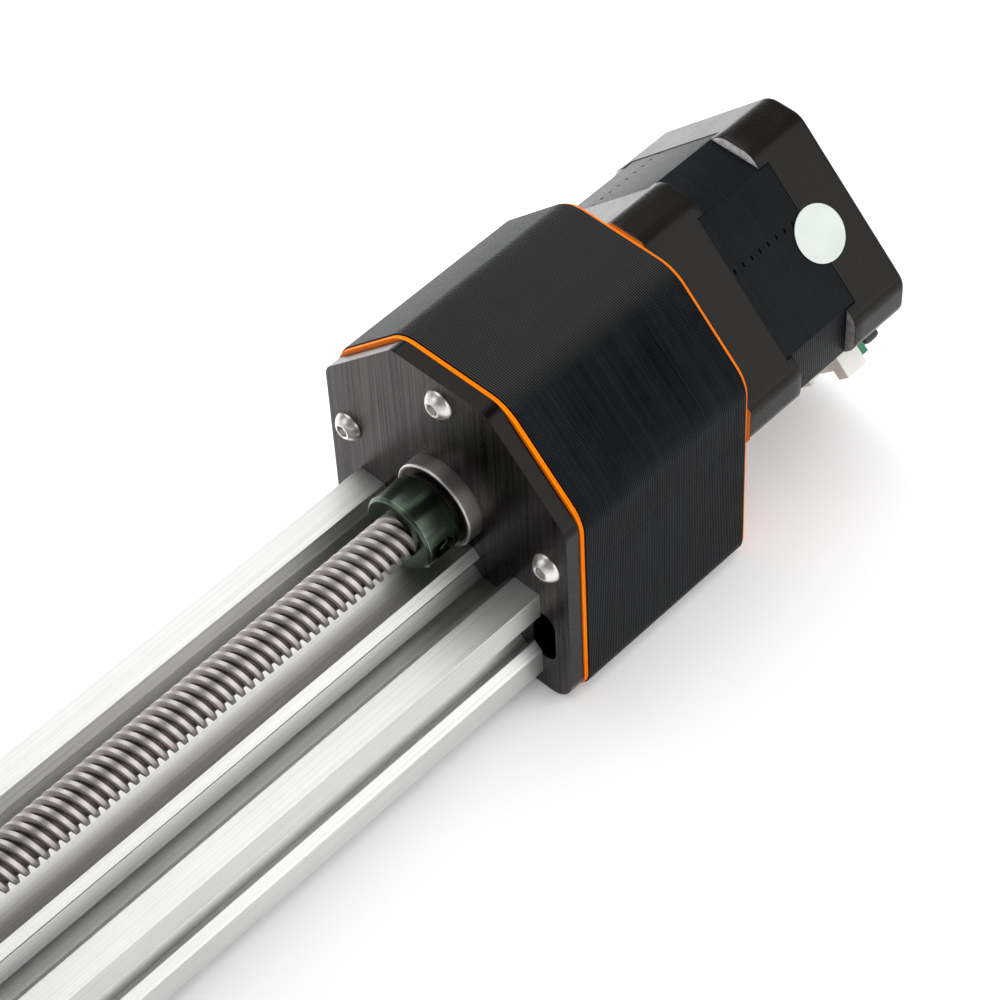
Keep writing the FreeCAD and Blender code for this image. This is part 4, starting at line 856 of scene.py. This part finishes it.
def make_lobes(name, start, length):
    """Four short prisms over the stack's cut corners, from a cap's face; their ends are bare and rounded."""
    half = MOTOR_WIDTH / 2
    inner = STACK_WIDTH / 2 - STACK_CUT
    corners = [(half, inner), (half, half - CAP_CUT), (half - CAP_CUT, half), (inner, half)]
    outline, outwards = rounded(corners, [LOBE_EDGE, CAP_ROUND, CAP_ROUND, LOBE_EDGE], CORNER_STEPS)
    rows = outline - outwards * LOBE_INSETS[:, None, None]
    heights = start + length - np.sign(length) * LOBE_EDGE * LOBE_BACKS
    heights[0] = start
    patches = []
    for turns, worn in enumerate(LOBE_BARE_AND_SHADE):
        turned_rows = rows @ np.linalg.matrix_power(QUARTER_TURN, turns) @ EIGHTH_TURN
        patches.append(walls(turned_rows, heights))
        patches.append(flat_face([turned_rows[0]], heights[0]))
        patches.append(flat_face([turned_rows[-1]], heights[-1], worn))
    return make_piece(name, "motor_black", patches)


lobes = [
    make_lobes("front_cap_lobes", stack_low.y, FRONT_LOBE),
    make_lobes("rear_cap_lobes", stack_high.y, -REAR_LOBE),
]
print([len(piece.data.polygons) for piece in lobes])

# %% [markdown]
# ## Screws
#
# The heads that show are domed and have a hexagon socket. A boolean could cut the socket from a turned head,
# but the same grid does it: the rows go up the shank and the flank as circles, and then turn into a hexagon
# that goes down into the head. All columns stay at their angles, so the hexagon's corners fall on columns.

# %% Screw shape
SCREW_COLUMNS = 48
SOCKET_EDGE = 0.1 * MM
SHANK_EDGE = 0.3 * MM
FLANK_STEPS = 8
HEAD_RIM = 0.12 * MM
RIGHT = (1, 0, 0)
FRONT = (0, -1, 0)
BACK = (0, 1, 0)
UP = (0, 0, 1)


def domed_profile(head_radius, head_height, flat_radius, swell, shank_radius, shank_length):
    """Radius and height from the shank's end, over the seat at 0 and up the flank.
    The flank is a slope that swells by half a sine."""
    share = np.linspace(0, 1, FLANK_STEPS)[:, None]
    slope = np.array((flat_radius - head_radius, head_height - HEAD_RIM))
    outwards = np.array((slope[1], -slope[0])) / np.hypot(*slope)
    dome = (head_radius, HEAD_RIM) + slope * share + outwards * swell * np.sin(math.pi * share)
    shank = [
        (0, -shank_length), (shank_radius - SHANK_EDGE, -shank_length),
        (shank_radius, SHANK_EDGE - shank_length), (shank_radius, 0), (head_radius, 0),
    ]
    return np.concatenate([shank, dome])


def socket_screw(profile, socket, depth):
    """Points in the screw's own axes.
    A hexagon's radius is half its width over the cosine of the angle from the nearest flat."""
    angles = np.arange(SCREW_COLUMNS) * 2 * math.pi / SCREW_COLUMNS
    hexagon = socket / 2 / np.cos((angles + math.pi / 6) % (math.pi / 3) - math.pi / 6)
    top = profile[-1, 1]
    circles = np.repeat(profile[:, :1], SCREW_COLUMNS, axis=1)
    nothing = np.zeros(SCREW_COLUMNS)
    radii = np.concatenate([circles, [hexagon + SOCKET_EDGE, hexagon, hexagon, nothing]])
    heights = np.append(profile[:, 1], [top, top - SOCKET_EDGE, top - depth, top - depth])[:, None]
    return np.stack(np.broadcast_arrays(radii * np.cos(angles), radii * np.sin(angles), heights), -1)


def put_screws(name, slot, shape, seats, outwards, across, stands_for, body="frame"):
    """One piece with a screw at each seat; outwards and across are the directions of heads and sockets."""
    patches = []
    for seat, axis, first in zip(seats, outwards, across):
        turned_axes = np.stack([first, np.cross(axis, first), axis])
        patches.append((np.asarray(seat) + shape @ turned_axes, grid_faces(*shape.shape[:2]), 0.0))
    return make_piece(name, slot, patches, stands_for, body)


print("screw shape is ready")

# %% Motor screws
BUTTON_RADIUS = 2.72 * MM
BUTTON_HEIGHT = 1.7 * MM
BUTTON_FLAT = 1.42 * MM
BUTTON_SWELL = 0.18 * MM
BUTTON_SHANK = 1.5 * MM
BUTTON_SOCKET = 2 * MM
BUTTON_DEPTH = 1.05 * MM
plate_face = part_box("motor_end_plate")[0].y
button_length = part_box("motor_screws")[1].y - plate_face
button_profile = domed_profile(
    BUTTON_RADIUS, BUTTON_HEIGHT, BUTTON_FLAT, BUTTON_SWELL, BUTTON_SHANK, button_length)
button = socket_screw(button_profile, BUTTON_SOCKET, BUTTON_DEPTH)
motor_seats = [(x, plate_face, z + axis_height) for x, z in screw_spots]
button_screws = put_screws("button_screws", "stainless", button, motor_seats, [FRONT] * 4, [RIGHT] * 4,
                           ["motor_screws"])
print("motor screws", len(button_screws.data.polygons), "faces")

# %% Screws of the rail's ends and of the carriage
HEAD_RADIUS = 4.5 * MM
HEAD_HEIGHT = 2.5 * MM
HEAD_FLAT = 2.4 * MM
HEAD_SWELL = 0.22 * MM
HEAD_SOCKET = 3 * MM
SOCKET_DEPTH = 1.5 * MM
SHANK_RADIUS = 2.5 * MM
DEPTH_IN_RAIL = 15 * MM


def low_screw(length):
    """The five millimetre screw with its low domed head."""
    profile = domed_profile(HEAD_RADIUS, HEAD_HEIGHT, HEAD_FLAT, HEAD_SWELL, SHANK_RADIUS, length)
    return socket_screw(profile, HEAD_SOCKET, SOCKET_DEPTH)


def put_end_screws():
    """Two screws at each end of the rail, whose heads look away from it."""
    low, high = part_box("rail_end_screws")
    middle = (low.z + high.z) / 2
    seats = [(side * (high.x - HEAD_RADIUS), y, middle)
             for y in (low.y + HEAD_HEIGHT, high.y - HEAD_HEIGHT) for side in (-1, 1)]
    length = high.y - HEAD_HEIGHT - plate_face + DEPTH_IN_RAIL
    outwards = [FRONT, FRONT, BACK, BACK]
    return put_screws("end_screws", "stainless", low_screw(length), seats, outwards, [RIGHT] * 4,
                      ["rail_end_screws"])


def put_carriage_screws(node, rows):
    """Screws down through the carriage plate, in one row across it or in two."""
    low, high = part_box(node)
    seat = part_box("carriage_plate")[1].z
    ends = (low.y + HEAD_RADIUS, high.y - HEAD_RADIUS)[:rows]
    seats = [(side * (high.x - HEAD_RADIUS), y, seat) for y in ends for side in (-1, 1)]
    outwards = [UP] * len(seats)
    across = [RIGHT] * len(seats)
    return put_screws(node + "_domed", "stainless", low_screw(seat - low.z), seats, outwards, across,
                      [node], "carriage")


low_screws = [
    put_end_screws(),
    put_carriage_screws("nut_block_screws", 1),
    put_carriage_screws("wheel_axles", 2),
]
print([piece.name for piece in low_screws])

# %% Grub screws of the collars
GRUB_RADIUS = 1.98 * MM
GRUB_TURN = math.radians(5)
GRUB_REACH = 6.12 * MM
GRUB_LENGTH = 2.1 * MM
GRUB_SOCKET = 2 * MM
GRUB_DEPTH = 1.6 * MM


def put_grub_screws():
    """A headless screw in the side of each collar, a little below the horizontal."""
    profile = np.array([(0, -GRUB_LENGTH), (GRUB_RADIUS, -GRUB_LENGTH), (GRUB_RADIUS, -SHANK_EDGE),
                        (GRUB_RADIUS - SHANK_EDGE, 0)])
    shape = socket_screw(profile, GRUB_SOCKET, GRUB_DEPTH)
    seats = []
    outwards = []
    for collar, side in (("motor_end_lock_collar", 1), ("far_end_lock_collar", -1)):
        low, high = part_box(collar)
        axis = np.array((side * math.cos(GRUB_TURN), 0, -math.sin(GRUB_TURN)))
        seats.append(axis * GRUB_REACH + (0, (low.y + high.y) / 2, axis_height))
        outwards.append(axis)
    return put_screws("grub_screws", "collar_black", shape, seats, outwards, [BACK] * 2,
                      ["collar_grub_screws"], "spindle")


print("grub screws", len(put_grub_screws().data.polygons), "faces")

# %% [markdown]
# ## Broken edges
#
# No machined or moulded edge is perfectly sharp, and the thin bright line along it is what makes a part look
# real. A Bevel modifier on the imported mesh would leave it as loose triangles. So a copy is merged, its flat
# faces are joined, and each steep edge is cut back by a width that suits the part, given in millimetres. The
# new faces carry the value that shows wear, and all faces of a part that sits in shadow between others carry
# the value for painted shade. Weighted normals keep the large faces flat.

# %% Copies with broken edges
EDGE_WIDTHS = {
    "rail": 0.16, "motor_end_plate": 0.22, "far_end_plate": 0.22,
    "motor_end_bearing_outer": 0.35, "far_end_bearing_outer": 0.35,
    "motor_end_bearing_inner": 0.2, "far_end_bearing_inner": 0.2, "bearing_shims": 0.1,
    "motor_end_lock_collar": 0.12, "far_end_lock_collar": 0.12,
    "shaft_coupler": 0.4, "motor_spacers": 0.2, "motor_pad": 0.15,
    "motor_front_cap": 0.25, "motor_rear_cap": 0.25, "motor_case_screws": 0.2,
    "connector_housing": 0.12, "connector_pins": 0.08, "connector_board": 0.08, "connector_backing": 0.15,
    "blank_sticker": 0.03, "motor_shaft": 0.3, "rotor_core": 0.3, "stator_coils": 0.8,
    "motor_bearing_outer_rings": 0.2, "motor_bearing_inner_rings": 0.2,
    "carriage_plate": 0.35, "nut_block": 0.35, "lead_nut": 0.25,
    "wheel_spacers": 0.25, "eccentric_bushes": 0.25, "axle_nuts": 0.3,
    "wheel_bearing_inner_rings": 0.2, "wheel_bearing_shims": 0.1,
}
for corner in ("left_front", "left_back", "right_front", "right_back"):
    EDGE_WIDTHS["wheel_" + corner] = 0.3
    EDGE_WIDTHS["wheel_bearing_rings_" + corner] = 0.2
EDGE_WEAR = {"motor_black": 0.02, "black_plate": 0.8, "bearing_steel": 0.5, "collar_black": 0.7}
KEPT_SHARP = {"motor_front_cap": stack_low.y, "motor_rear_cap": stack_high.y}
# Parts in shadow between others: all their faces get painted shade.
SHADED_PARTS = ("bearing_shims", "motor_pad")
STEEP = math.radians(32)
FLAT = math.radians(0.3)
SOFT_ANGLE = math.radians(50)
NEAR = 0.01 * MM
MERGED = 0.001 * MM


def break_edges(node, width):
    """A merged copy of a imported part, with each steep edge cut back by a width in two steps."""
    mesh = nodes[node].data.copy()
    mesh.name = node + "_soft"
    for name in ("custom_normal", "sharp_edge", "sharp_face"):
        if name in mesh.attributes:
            mesh.attributes.remove(mesh.attributes[name])
    shell = bmesh.new()
    shell.from_mesh(mesh)
    bmesh.ops.remove_doubles(shell, verts=shell.verts, dist=MERGED)
    bmesh.ops.dissolve_limit(shell, angle_limit=FLAT, verts=shell.verts, edges=shell.edges)
    wear = shell.faces.layers.float.new("edge")
    sharp_at = KEPT_SHARP.get(node, math.inf)
    steep = [edge for edge in shell.edges if len(edge.link_faces) == 2 and edge.calc_face_angle() > STEEP
             and any(abs(end.co.y - sharp_at) > NEAR for end in edge.verts)]
    cut = bmesh.ops.bevel(shell, geom=steep, offset=width * MM, offset_type="OFFSET", segments=2,
                          profile=0.5, affect="EDGES", clamp_overlap=True)
    for face in cut["faces"]:
        face[wear] = EDGE_WEAR.get(slot_of[node], 1.0)
    shell.to_mesh(mesh)
    shell.free()
    # Painted shade on all faces of a part in shadow.
    if node in SHADED_PARTS:
        shade_attribute = mesh.attributes.new("painted_shade", "FLOAT", "FACE")
        shade_attribute.data.foreach_set("value", np.ones(len(mesh.polygons), np.float32))
    mesh.shade_smooth()
    mesh.set_sharp_from_angle(angle=SOFT_ANGLE)
    piece = set_piece(node + "_soft", mesh, body_of[node], slot_of[node], [node])
    level = piece.modifiers.new("flat_faces", "WEIGHTED_NORMAL")
    level.keep_sharp = True
    return piece


softened = [break_edges(node, width) for node, width in EDGE_WIDTHS.items()]
print(len(softened), "copies,", sum(len(piece.data.polygons) for piece in softened), "faces")

# %% [markdown]
# ## What stays as it was packed
#
# Balls, shields and the coupler's set screws have the right shape already. They only need their finish, and
# so do the parts that a piece stands for, in case they are shown again.

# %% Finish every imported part
for name, node in nodes.items():
    node.data.materials.clear()
    node.data.materials.append(finishes[slot_of[name]])
print(len(nodes), "parts have their finish")
